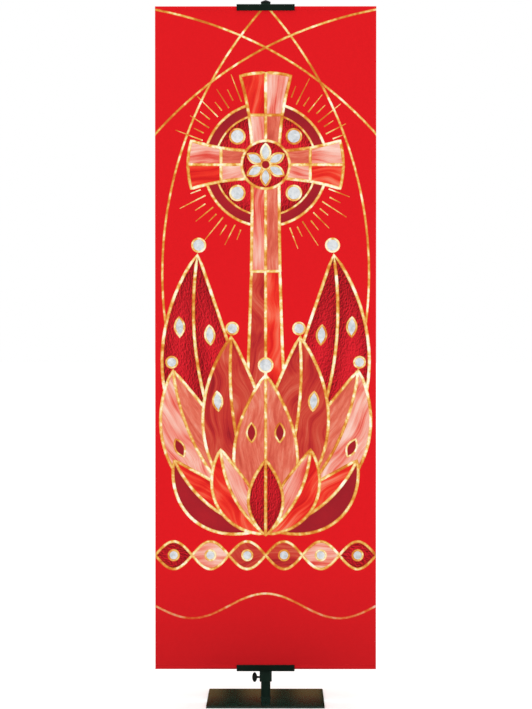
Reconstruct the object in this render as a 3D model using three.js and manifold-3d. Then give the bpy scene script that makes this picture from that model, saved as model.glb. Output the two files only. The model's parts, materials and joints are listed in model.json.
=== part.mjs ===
// A church banner on its stand: one tall sheet of printed cloth, 2 ft by 6 ft, held between two short lipped
// channels on a steel pole. The upper channel is fixed at the pole's head. The lower one is on a collar that a
// thumbscrew locks to the pole, and it keeps the cloth taut. The pole is welded to a flat square base plate.
//
// Millimetres, +Z up. The origin is on the floor under the pole's axis, at the centre of the base plate's
// underside. The banner faces -Y.
import * as THREE from "three";
import { mergeVertices } from "three/addons/utils/BufferGeometryUtils.js";
import Module from "manifold-3d";

const wasm = await Module();
wasm.setup();

// ---- Driving dimensions -------------------------------------------------------------------------------------

const FIT_GAP = 0.3; // between pieces that touch
const ROUND_SIDES = 48; // sides of the pole, collars and cap
const SCREW_SIDES = 24; // sides of the thumbscrew's shank and of its hole

const CLOTH = {
  width: 609.6, // 2 ft
  height: 1828.8, // 6 ft
  bottomZ: 87, // above the floor
  planeY: -24, // middle of the sheet, in front of the pole's axis
  thick: 1.6,
  sideHem: 12, // width of the folded side hem
  hemExtra: 0.9, // what the fold adds, on the back
  pocketHigh: 9.75, // flat pole pocket along the head and the foot
  pocketThick: 6.4,
};

// Soft lengthwise ripples of the taut sheet, strongest halfway up and towards its free sides.
const RIPPLES = [
  { reach: 1.2, pitch: 236, lean: 0.5, start: 0.7 },
  { reach: 0.7, pitch: 141, lean: -1.3, start: 2.1 },
];
const RIPPLE_AT_CENTRE = 0.35; // share of the ripple that is left in the middle of the width

const CHANNEL = { length: 160, deep: 10.8, high: 17.5, wall: 1.8, slot: 3.2, bend: 1.4 };

const POLE = { outer: 26, wall: 1.5, headZ: 1926.8 };
const CAP = { outer: 27, rim: 2.4, dome: 6.9, plug: 14, plugOuter: 22.4 };
const COLLAR = { outer: 34, bore: 26.6, high: 49.3, chamfer: 0.8 };
const SADDLE = { wide: 24, high: 13 }; // lug that carries a channel on its collar

const SCREW = {
  z: 61.5,
  shankOuter: 5.2,
  tip: 0.6, // chamfer at the shank's end
  holeOuter: 5.8,
  paddleNear: 23.6, // nearest face of the paddle to the pole's axis
  paddleLong: 13.8,
  paddleWide: 27.4,
  paddleThick: 4.6,
  paddleRound: 1.5,
};

const PLATE = { side: 322, thick: 4.8, corner: 2.5, edge: 0.6 };
const WELD = { leg: 3.2, sunk: 0.6 };

// ---- Places worked out from them ----------------------------------------------------------------------------

const clothTopZ = CLOTH.bottomZ + CLOTH.height;
const lipToPocket = CHANNEL.wall + FIT_GAP;
const topChannelZ = clothTopZ - CLOTH.pocketHigh - lipToPocket; // its lips are at the bottom
const bottomChannelZ = CLOTH.bottomZ + CLOTH.pocketHigh + lipToPocket; // its lips are at the top
const collarTopZ = bottomChannelZ; // the lower collar ends level with its channel
const channelBackY = CLOTH.planeY + CHANNEL.deep / 2;

// ---- Finishes -----------------------------------------------------------------------------------------------

const finish = (color, roughness, metalness) => new THREE.MeshStandardMaterial({ color, roughness, metalness });
const printedCloth = finish(0xe01d23, 0.85, 0);
const blackEnamel = finish(0x19221d, 0.45, 0.2);
const glossEnamel = finish(0x2a241c, 0.25, 0.3);
const blackPlastic = finish(0x161a18, 0.5, 0);
const blackenedSteel = finish(0x24282a, 0.4, 0.8);

// ---- Solids -------------------------------------------------------------------------------------------------

// A closed three.js geometry as a manifold-3d solid, for joining and cutting.
function toSolid(geometry) {
  const bare = new THREE.BufferGeometry().setAttribute("position", geometry.getAttribute("position"));
  bare.setIndex(geometry.index);
  const merged = mergeVertices(bare, 1e-4);
  return new wasm.Manifold(
    new wasm.Mesh({
      numProp: 3,
      vertProperties: new Float32Array(merged.getAttribute("position").array),
      triVerts: new Uint32Array(merged.index.array),
    }),
  );
}

function toGeometry(solid) {
  const mesh = solid.getMesh();
  const geometry = new THREE.BufferGeometry();
  geometry.setAttribute("position", new THREE.BufferAttribute(new Float32Array(mesh.vertProperties), 3));
  geometry.setIndex(new THREE.BufferAttribute(new Uint32Array(mesh.triVerts), 1));
  geometry.computeVertexNormals();
  return geometry;
}

// A solid of revolution about Z from [radius, height] rows, which start and end on the axis or close on themselves.
function turned(rows, sides = ROUND_SIDES) {
  const points = rows.map(([radius, height]) => new THREE.Vector2(radius, height));
  return new THREE.LatheGeometry(points, sides).rotateX(Math.PI / 2);
}

// A shape drawn in the Y-Z plane, carried along X and centred on it.
function alongX(shape, length) {
  const turn = new THREE.Matrix4().makeBasis(
    new THREE.Vector3(0, 1, 0),
    new THREE.Vector3(0, 0, 1),
    new THREE.Vector3(1, 0, 0),
  );
  const options = { depth: length, bevelEnabled: false, curveSegments: 4 };
  return new THREE.ExtrudeGeometry(shape, options).translate(0, 0, -length / 2).applyMatrix4(turn);
}

function box(wide, deep, high) {
  return new THREE.BoxGeometry(wide, deep, high);
}

// ---- Cloth --------------------------------------------------------------------------------------------------

// How far the sheet stands forward or back of its plane, x along the width and rise from 0 at the foot to 1.
function ripple(x, rise) {
  const side = Math.abs(x) / (CLOTH.width / 2);
  const share = (RIPPLE_AT_CENTRE + (1 - RIPPLE_AT_CENTRE) * side * side) * Math.sin(Math.PI * rise) ** 2;
  const waves = RIPPLES.map(({ reach, pitch, lean, start }) =>
    reach * Math.sin((2 * Math.PI * x) / pitch + lean * Math.PI * rise + start));
  return share * waves.reduce((sum, wave) => sum + wave, 0);
}

// Rows up the sheet as {z, half}: half is half the thickness there. A pocket is a flattened round.
function sheetRows() {
  const steps = 6;
  const sheetSteps = 24;
  const halfHigh = CLOTH.pocketHigh / 2;
  const pocket = [...Array(steps + 1).keys()].map((i) => {
    const angle = -Math.PI / 2 + (Math.PI * i) / steps;
    return { z: halfHigh * (1 + Math.sin(angle)), half: (CLOTH.pocketThick / 2) * Math.sqrt(Math.cos(angle)) };
  });
  const half = CLOTH.thick / 2;
  const foot = pocket.map((row) => ({ z: CLOTH.bottomZ + row.z, half: Math.max(row.half, half) }));
  const head = foot.map((row) => ({ z: clothTopZ + CLOTH.bottomZ - row.z, half: row.half })).reverse();
  const low = foot.at(-1).z;
  const high = head[0].z;
  const between = [...Array(sheetSteps - 1).keys()].map((i) => ({
    z: low + ((high - low) * (i + 1)) / sheetSteps,
    half,
  }));
  return [...foot, ...between, ...head];
}

// Columns across the sheet as {x, hem}: hem is how much of the side fold's thickness is there.
function sheetColumns() {
  const steps = 20;
  const edge = CLOTH.width / 2;
  const inner = edge - CLOTH.sideHem;
  const flat = inner - 1;
  const between = [...Array(steps + 1).keys()].map((i) => ({ x: flat * ((2 * i) / steps - 1), hem: 0 }));
  return [{ x: -edge, hem: 1 }, { x: -inner, hem: 1 }, ...between, { x: inner, hem: 1 }, { x: edge, hem: 1 }];
}

// The sheet as one closed mesh: each column is a loop up the front and down the back, and the ends are capped.
function clothGeometry() {
  const rows = sheetRows();
  const columns = sheetColumns();
  const loop = 2 * rows.length;
  const points = [];
  for (const { x, hem } of columns) {
    const middle = rows.map(({ z }) => CLOTH.planeY + ripple(x, (z - CLOTH.bottomZ) / CLOTH.height));
    rows.forEach(({ z, half }, i) => points.push([x, middle[i] - half, z]));
    const inPocket = ({ half }) => half > CLOTH.thick / 2;
    const back = rows.map((row, i) => [x, middle[i] + row.half + (inPocket(row) ? 0 : hem * CLOTH.hemExtra), row.z]);
    points.push(...back.reverse());
  }
  const faces = [];
  const quad = (a, b, c, d) => faces.push([a, b, c], [a, c, d]);
  for (let i = 0; i + 1 < columns.length; i += 1) {
    for (let j = 0; j < loop; j += 1) {
      const next = (j + 1) % loop;
      quad(i * loop + j, (i + 1) * loop + j, (i + 1) * loop + next, i * loop + next);
    }
  }
  const last = (columns.length - 1) * loop;
  for (let j = 0; j + 1 < rows.length; j += 1) {
    const behind = loop - 1 - j;
    quad(j, j + 1, behind - 1, behind);
    quad(last + j, last + behind, last + behind - 1, last + j + 1);
  }
  const geometry = new THREE.BufferGeometry();
  geometry.setAttribute("position", new THREE.Float32BufferAttribute(points.flat(), 3));
  geometry.setIndex(faces.flat());
  geometry.computeVertexNormals();
  return geometry;
}

// ---- Stand --------------------------------------------------------------------------------------------------

// A lipped channel, folded from sheet, with its slot facing down: y is across it and z is up from its lips.
function channelGeometry() {
  const { deep, high, wall, slot, bend, length } = CHANNEL;
  const half = deep / 2;
  const shape = new THREE.Shape();
  shape.moveTo(slot / 2, 0);
  shape.lineTo(half - bend, 0);
  shape.absarc(half - bend, bend, bend, -Math.PI / 2, 0, false);
  shape.lineTo(half, high - bend);
  shape.absarc(half - bend, high - bend, bend, 0, Math.PI / 2, false);
  shape.lineTo(-half + bend, high);
  shape.absarc(-half + bend, high - bend, bend, Math.PI / 2, Math.PI, false);
  shape.lineTo(-half, bend);
  shape.absarc(-half + bend, bend, bend, Math.PI, 1.5 * Math.PI, false);
  shape.lineTo(-slot / 2, 0);
  shape.lineTo(-slot / 2, wall);
  shape.lineTo(-half + wall, wall);
  shape.lineTo(-half + wall, high - wall);
  shape.lineTo(half - wall, high - wall);
  shape.lineTo(half - wall, wall);
  shape.lineTo(slot / 2, wall);
  shape.closePath();
  return alongX(shape, length);
}

// A collar about the pole with the lug that carries its channel, z up from the collar's foot.
function collarSolid() {
  const outer = COLLAR.outer / 2;
  const inner = COLLAR.bore / 2;
  const { high, chamfer } = COLLAR;
  const ring = turned([
    [inner, 0],
    [outer - chamfer, 0],
    [outer, chamfer],
    [outer, high - chamfer],
    [outer - chamfer, high],
    [inner, high],
    [inner, 0],
  ]);
  const lugFrontY = channelBackY + FIT_GAP;
  const lugBackY = -(inner + outer) / 2;
  const lug = box(SADDLE.wide, lugBackY - lugFrontY, SADDLE.high);
  lug.translate(0, (lugBackY + lugFrontY) / 2, high - CHANNEL.high / 2);
  return toSolid(ring).add(toSolid(lug));
}

// The lower collar has the thumbscrew's hole through its wall, on the -X side.
function lowerCollarGeometry() {
  const hole = turned(
    [
      [0, 0],
      [SCREW.holeOuter / 2, 0],
      [SCREW.holeOuter / 2, COLLAR.outer],
      [0, COLLAR.outer],
    ],
    SCREW_SIDES,
  );
  hole.rotateY(-Math.PI / 2).translate(0, 0, SCREW.z - (collarTopZ - COLLAR.high));
  return toGeometry(collarSolid().subtract(toSolid(hole)));
}

function poleGeometry() {
  const outer = POLE.outer / 2;
  const inner = outer - POLE.wall;
  const foot = PLATE.thick + FIT_GAP;
  return turned([
    [inner, foot],
    [outer, foot],
    [outer, POLE.headZ],
    [inner, POLE.headZ],
    [inner, foot],
  ]);
}

// A push-in cap: a plug, a thin rim that sits on the pole's end and a low dome.
function capGeometry() {
  const outer = CAP.outer / 2;
  const rimZ = POLE.headZ + FIT_GAP;
  const domeSteps = 8;
  const rows = [
    [0, rimZ - CAP.plug],
    [CAP.plugOuter / 2, rimZ - CAP.plug],
    [CAP.plugOuter / 2, rimZ],
    [outer, rimZ],
  ];
  for (let i = 0; i <= domeSteps; i += 1) {
    const angle = ((Math.PI / 2) * i) / domeSteps;
    rows.push([i === domeSteps ? 0 : outer * Math.cos(angle), rimZ + CAP.rim + CAP.dome * Math.sin(angle)]);
  }
  return turned(rows);
}

// The plate with the weld bead that runs round the pole's foot.
function plateGeometry() {
  const { side, thick, corner, edge } = PLATE;
  const flat = side / 2 - edge;
  const inset = flat - corner;
  const shape = new THREE.Shape();
  shape.moveTo(-inset, -flat);
  shape.lineTo(inset, -flat);
  shape.absarc(inset, -inset, corner, -Math.PI / 2, 0, false);
  shape.lineTo(flat, inset);
  shape.absarc(inset, inset, corner, 0, Math.PI / 2, false);
  shape.lineTo(-inset, flat);
  shape.absarc(-inset, inset, corner, Math.PI / 2, Math.PI, false);
  shape.lineTo(-flat, -inset);
  shape.absarc(-inset, -inset, corner, Math.PI, 1.5 * Math.PI, false);
  const plate = new THREE.ExtrudeGeometry(shape, {
    depth: thick - 2 * edge,
    bevelThickness: edge,
    bevelSize: edge,
    bevelSegments: 1,
    curveSegments: 4,
  }).translate(0, 0, edge);
  const inner = POLE.outer / 2 + FIT_GAP;
  const low = thick - WELD.sunk;
  const bead = turned([
    [inner, low],
    [inner + WELD.leg, low],
    [inner + WELD.leg, thick],
    [inner + 0.4 * WELD.leg, thick + 0.6 * WELD.leg],
    [inner, thick + WELD.leg],
    [inner, low],
  ]);
  return toGeometry(toSolid(plate).add(toSolid(bead)));
}

// The screw's axis is the X axis, and its shank points at the pole along +X.
function shankGeometry() {
  const radius = SCREW.shankOuter / 2;
  const tipX = -POLE.outer / 2 - FIT_GAP;
  const rootX = -SCREW.paddleNear - SCREW.paddleRound;
  const length = tipX - rootX;
  const shank = turned(
    [
      [0, 0],
      [radius, 0],
      [radius, length - SCREW.tip],
      [radius - SCREW.tip, length],
      [0, length],
    ],
    SCREW_SIDES,
  );
  return shank.rotateY(Math.PI / 2).translate(rootX, 0, 0);
}

// An oval thumb paddle, standing upright, with its rounded rim.
function paddleGeometry() {
  const { paddleLong, paddleWide, paddleThick, paddleRound, paddleNear } = SCREW;
  const shape = new THREE.Shape();
  shape.absellipse(0, 0, paddleLong / 2 - paddleRound, paddleWide / 2 - paddleRound, 0, 2 * Math.PI, false);
  const flatThick = paddleThick - 2 * paddleRound;
  const paddle = new THREE.ExtrudeGeometry(shape, {
    depth: flatThick,
    bevelThickness: paddleRound,
    bevelSize: paddleRound,
    bevelSegments: 3,
    curveSegments: 16,
  });
  return paddle.translate(0, 0, -flatThick / 2).rotateX(Math.PI / 2).translate(-paddleNear - paddleLong / 2, 0, 0);
}

function thumbscrewGeometry() {
  return toGeometry(toSolid(shankGeometry()).add(toSolid(paddleGeometry())));
}

// ---- Assembly -----------------------------------------------------------------------------------------------

function piece(name, geometry, material) {
  const mesh = new THREE.Mesh(geometry, material);
  mesh.name = name;
  return mesh;
}

// The upper channel hangs slot down. The lower one is the same fold turned over.
function channels() {
  const top = piece("top_channel", channelGeometry(), blackEnamel);
  top.position.set(0, CLOTH.planeY, topChannelZ);
  const bottom = piece("bottom_channel", channelGeometry(), blackEnamel);
  bottom.position.set(0, CLOTH.planeY, bottomChannelZ);
  bottom.rotation.x = Math.PI;
  return [top, bottom];
}

function collars() {
  const top = piece("top_collar", toGeometry(collarSolid()), blackEnamel);
  top.position.z = topChannelZ + CHANNEL.high - COLLAR.high;
  const bottom = piece("bottom_collar", lowerCollarGeometry(), blackEnamel);
  bottom.position.z = collarTopZ - COLLAR.high;
  return [top, bottom];
}

function thumbscrew() {
  const screw = piece("thumbscrew", thumbscrewGeometry(), blackenedSteel);
  screw.position.z = SCREW.z;
  return screw;
}

const banner = new THREE.Group();
banner.add(
  piece("banner_cloth", clothGeometry(), printedCloth),
  piece("base_plate", plateGeometry(), glossEnamel),
  piece("pole", poleGeometry(), blackEnamel),
  piece("pole_cap", capGeometry(), blackPlastic),
  ...channels(),
  ...collars(),
  thumbscrew(),
);

export default banner;
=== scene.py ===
"""A tall printed church banner on its pole stand.

The cloth is one hemmed sheet of printed polyester. Its head and foot pockets slide into two short lipped
channels, and a collar with a thumbscrew keeps it taut on a steel pole that is welded to a flat square
plate. The print is a generic design in the manner of leaded glass: a ringed cross over a sheaf of leaves,
with a looped band below.

Sizes are in metres. The printed design is drawn in millimetres, x across the cloth and z above the floor.
"""

from __future__ import annotations

import json
import logging
import math
from dataclasses import dataclass, field
from enum import Enum

import bpy
import numpy as np
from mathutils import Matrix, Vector
from mathutils.geometry import delaunay_2d_cdt

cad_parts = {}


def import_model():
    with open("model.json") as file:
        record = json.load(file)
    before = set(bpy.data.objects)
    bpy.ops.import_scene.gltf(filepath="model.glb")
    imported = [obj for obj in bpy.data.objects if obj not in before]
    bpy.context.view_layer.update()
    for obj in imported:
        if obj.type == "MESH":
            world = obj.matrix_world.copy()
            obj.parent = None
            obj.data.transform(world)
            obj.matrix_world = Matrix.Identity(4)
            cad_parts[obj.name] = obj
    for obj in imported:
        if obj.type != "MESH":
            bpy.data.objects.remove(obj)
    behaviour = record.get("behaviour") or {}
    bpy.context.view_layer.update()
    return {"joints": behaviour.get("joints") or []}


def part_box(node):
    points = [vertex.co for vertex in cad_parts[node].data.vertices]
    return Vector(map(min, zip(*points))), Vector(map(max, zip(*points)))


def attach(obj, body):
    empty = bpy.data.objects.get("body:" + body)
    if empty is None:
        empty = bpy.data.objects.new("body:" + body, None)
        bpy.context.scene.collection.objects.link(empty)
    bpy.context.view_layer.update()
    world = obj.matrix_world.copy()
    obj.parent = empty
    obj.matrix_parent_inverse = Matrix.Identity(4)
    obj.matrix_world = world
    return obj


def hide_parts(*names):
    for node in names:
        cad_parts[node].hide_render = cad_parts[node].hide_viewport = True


LOG = logging.getLogger("church_banner")
MM = 0.001
SMOOTH_ANGLE = math.radians(32)
TOUCHING = 1e-6  # Metres. Places nearer to each other than this are one place.
TINY = 1e-9  # Keeps a division clear of nought.

Array = np.ndarray
Piece = bpy.types.Object
Tree = bpy.types.NodeTree
Socket = bpy.types.NodeSocket
Spot = tuple[float, float]
Place = tuple[float, float, float]
Stops = tuple[tuple[float, str], ...]
Value = float | tuple[float, ...] | Socket


# ---- Meshes ----------------------------------------------------------------------------------------------


def mesh_object(name: str, points: Array, faces: list[list[int]], smooth: bool = True) -> Piece:
    """Makes a mesh object at the origin from points and faces.

    Args:
        name: The piece's name.
        points: Rows of x, y, z in metres.
        faces: Corner numbers of each face, counterclockwise from outside.
        smooth: Whether faces meet smoothly, but for edges sharper than SMOOTH_ANGLE.

    Returns:
        The new object, linked to the scene.
    """
    mesh = bpy.data.meshes.new(name)
    mesh.from_pydata(points.tolist(), [], faces)
    mesh.validate()
    if smooth:
        mesh.shade_smooth()
        mesh.set_sharp_from_angle(angle=SMOOTH_ANGLE)
    made = bpy.data.objects.new(name, mesh)
    bpy.context.scene.collection.objects.link(made)
    return made


def grid_faces(rows: int, columns: int) -> Array:
    """Quads between neighbouring rows of a grid whose columns close on themselves.

    Args:
        rows: Number of rings.
        columns: Points in each ring.

    Returns:
        Rows of four corner numbers.
    """
    row, column = np.meshgrid(np.arange(rows - 1), np.arange(columns), indexing="ij")
    beside = (column + 1) % columns
    here, above = row * columns, (row + 1) * columns
    corners = [here + column, here + beside, above + beside, above + column]
    return np.stack(corners, axis=-1).reshape(-1, 4)


def loft(name: str, rings: Array, ends: bool = True) -> Piece:
    """Skins a stack of closed rings, each counterclockwise as seen from the side that the stack grows to.

    Args:
        name: The piece's name.
        rings: Array of shape (rings, points, 3).
        ends: True closes each end with a fan to its middle. False joins the last ring to the first.

    Returns:
        The closed mesh as an object.
    """
    count, columns, _ = rings.shape
    points = rings.reshape(-1, 3)
    if not ends:
        looped = np.vstack([points, rings[0]])
        faces = grid_faces(count + 1, columns) % (count * columns)
        return mesh_object(name, looped[: count * columns], faces.tolist())
    faces = grid_faces(count, columns).tolist()
    middles = np.stack([rings[0].mean(axis=0), rings[-1].mean(axis=0)])
    first, last = count * columns, count * columns + 1
    column = np.arange(columns)
    beside = (column + 1) % columns
    top = (count - 1) * columns
    faces += np.stack([beside, column, np.full(columns, first)], axis=1).tolist()
    faces += np.stack([top + column, top + beside, np.full(columns, last)], axis=1).tolist()
    return mesh_object(name, np.vstack([points, middles]), faces)


def revolve(profile: Array, sides: int) -> Array:
    """Turns a profile about Z: a point (r, z) goes to (r cos a, r sin a, z) at each angle a.

    Args:
        profile: Rows of radius and height.
        sides: Number of angles.

    Returns:
        Rings of shape (rows, sides, 3).
    """
    angle = np.linspace(0, 2 * np.pi, sides, endpoint=False)
    radius, height = profile[:, :1], profile[:, 1:]
    return np.stack([radius * np.cos(angle), radius * np.sin(angle), height + 0 * angle], axis=-1)


def arc(centre: Spot, radius: float, start: float, sweep: float = 90.0, count: int = 5) -> Array:
    """An arc: centre plus radius times (cos a, sin a), a from start to start plus sweep, in degrees."""
    angle = np.radians(start + np.linspace(0, sweep, count))
    return np.array(centre) + radius * np.stack([np.cos(angle), np.sin(angle)], axis=1)


def applied(piece: Piece) -> Piece:
    """Fixes a piece's modifiers into its mesh.

    Args:
        piece: The piece.

    Returns:
        The same piece, with the finished mesh.
    """
    depsgraph = bpy.context.evaluated_depsgraph_get()
    mesh = bpy.data.meshes.new_from_object(piece.evaluated_get(depsgraph))
    piece.modifiers.clear()
    piece.data = mesh
    mesh.shade_smooth()
    mesh.set_sharp_from_angle(angle=SMOOTH_ANGLE)
    return piece


class Carving(Enum):
    """What one solid does to another. The value is the boolean modifier's own word for it."""

    JOIN = "UNION"
    CUT = "DIFFERENCE"


def carve(piece: Piece, other: Piece, carving: Carving) -> Piece:
    """Joins or cuts a piece with another, which is then deleted.

    Args:
        piece: The piece that stays.
        other: The piece that is used up.
        carving: Whether the other is joined on or cut out.

    Returns:
        The piece that stays.
    """
    modifier = piece.modifiers.new("carve", "BOOLEAN")
    modifier.operation = carving.value
    modifier.object = other
    modifier.solver = "EXACT"
    applied(piece)
    bpy.data.objects.remove(other)
    return piece


# ---- Materials -------------------------------------------------------------------------------------------


def linear(code: str) -> tuple[float, float, float, float]:
    """Turns an sRGB hex colour to linear light, by the sRGB curve.

    Args:
        code: The colour, such as "#e01d23".

    Returns:
        Linear red, green and blue, and an alpha of 1.
    """
    shares = np.array([int(code[i : i + 2], 16) for i in (1, 3, 5)]) / 255
    flat = np.where(shares <= 0.04045, shares / 12.92, ((shares + 0.055) / 1.055) ** 2.4)
    return (*flat.tolist(), 1.0)


def add_node(
    tree: Tree, kind: str, inputs: dict[str | int, Value] | None = None, **settings: str
) -> bpy.types.Node:
    """Adds one shader node.

    Args:
        tree: The material's node tree.
        kind: The node's type, without its "ShaderNode" prefix.
        inputs: Input name or number to a value, or to the output socket that feeds it.
        settings: Properties of the node itself.

    Returns:
        The node.
    """
    made = tree.nodes.new("ShaderNode" + kind)
    for name, value in settings.items():
        setattr(made, name, value)
    for name, value in (inputs or {}).items():
        if isinstance(value, Socket):
            tree.links.new(value, made.inputs[name])
        else:
            made.inputs[name].default_value = value
    return made


def colour_stops(ramp: bpy.types.Node, stops: Stops) -> Socket:
    """Gives a colour ramp its stops.

    Args:
        ramp: The ramp's node.
        stops: Pairs of a place from 0 to 1 and an sRGB hex colour.

    Returns:
        The ramp's colour.
    """
    elements = ramp.color_ramp.elements
    while len(elements) < len(stops):
        elements.new(0.5)
    for element, (place, code) in zip(elements, stops):
        element.position = place
        element.color = linear(code)
    return ramp.outputs["Color"]


def new_material(name: str) -> tuple[bpy.types.Material, Tree]:
    """Makes a material with an empty node tree.

    Args:
        name: The material's name.

    Returns:
        The material and its tree.
    """
    material = bpy.data.materials.new(name)
    material.use_nodes = True
    material.node_tree.nodes.clear()
    return material, material.node_tree


class Ink(Enum):
    """What the print lays down in one place. The value is the material's place on the cloth."""

    GROUND = 0
    GOLD = 1
    CORAL = 2
    STREAK = 3
    SWIRL = 4
    HAMMERED = 5
    DEEP = 6
    SILVER = 7
    FLAME = 8


@dataclass(frozen=True)
class CombedGlass:
    """Printed likeness of art glass that was combed into strands while hot.

    A strand has a length and a width and wanders by sway, all in metres. Broad folds carry a share of the
    tone, and wisps is how strongly the finest strands show, from 0 to 1. Each stop is a tone and its
    colour.
    """

    length: float
    width: float
    sway: float
    folds: float
    wisps: float
    stops: Stops


COMBED_GLASS = {
    # Marbled glass: cream and pink bands with fine coral and red lines between them.
    Ink.CORAL: CombedGlass(
        length=260 * MM,
        width=12 * MM,
        sway=70 * MM,
        folds=0.55,
        wisps=0.68,
        stops=(
            (0.36, "#d93a31"),
            (0.42, "#e4594b"),
            (0.46, "#ee8271"),
            (0.5, "#f29b8a"),
            (0.545, "#f6b7a6"),
            (0.6, "#fad2c4"),
            (0.68, "#f7b4a4"),
        ),
    ),
    # Streaky coral glass with fine darker and paler wisps, like a soft wood grain.
    Ink.STREAK: CombedGlass(
        length=85 * MM,
        width=12 * MM,
        sway=60 * MM,
        folds=0.35,
        wisps=0.72,
        stops=(
            (0.34, "#c24a3a"),
            (0.44, "#d65c49"),
            (0.51, "#e27059"),
            (0.58, "#e98770"),
            (0.68, "#f1a792"),
        ),
    ),
    # Brick-red glass with long swaying strands, pale threads and dark eddies.
    Ink.SWIRL: CombedGlass(
        length=200 * MM,
        width=13 * MM,
        sway=160 * MM,
        folds=0.5,
        wisps=0.68,
        stops=(
            (0.36, "#8f1a22"),
            (0.43, "#b4272a"),
            (0.49, "#c6382f"),
            (0.545, "#cf4b3a"),
            (0.6, "#d7614c"),
            (0.67, "#e08468"),
        ),
    ),
    # Bright red glass drawn out in scarlet and orange-coral sweeps.
    Ink.FLAME: CombedGlass(
        length=220 * MM,
        width=14 * MM,
        sway=120 * MM,
        folds=0.55,
        wisps=0.6,
        stops=(
            (0.37, "#c4161c"),
            (0.45, "#e0231f"),
            (0.51, "#ee3526"),
            (0.57, "#f35a41"),
            (0.65, "#f58468"),
        ),
    ),
}


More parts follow.
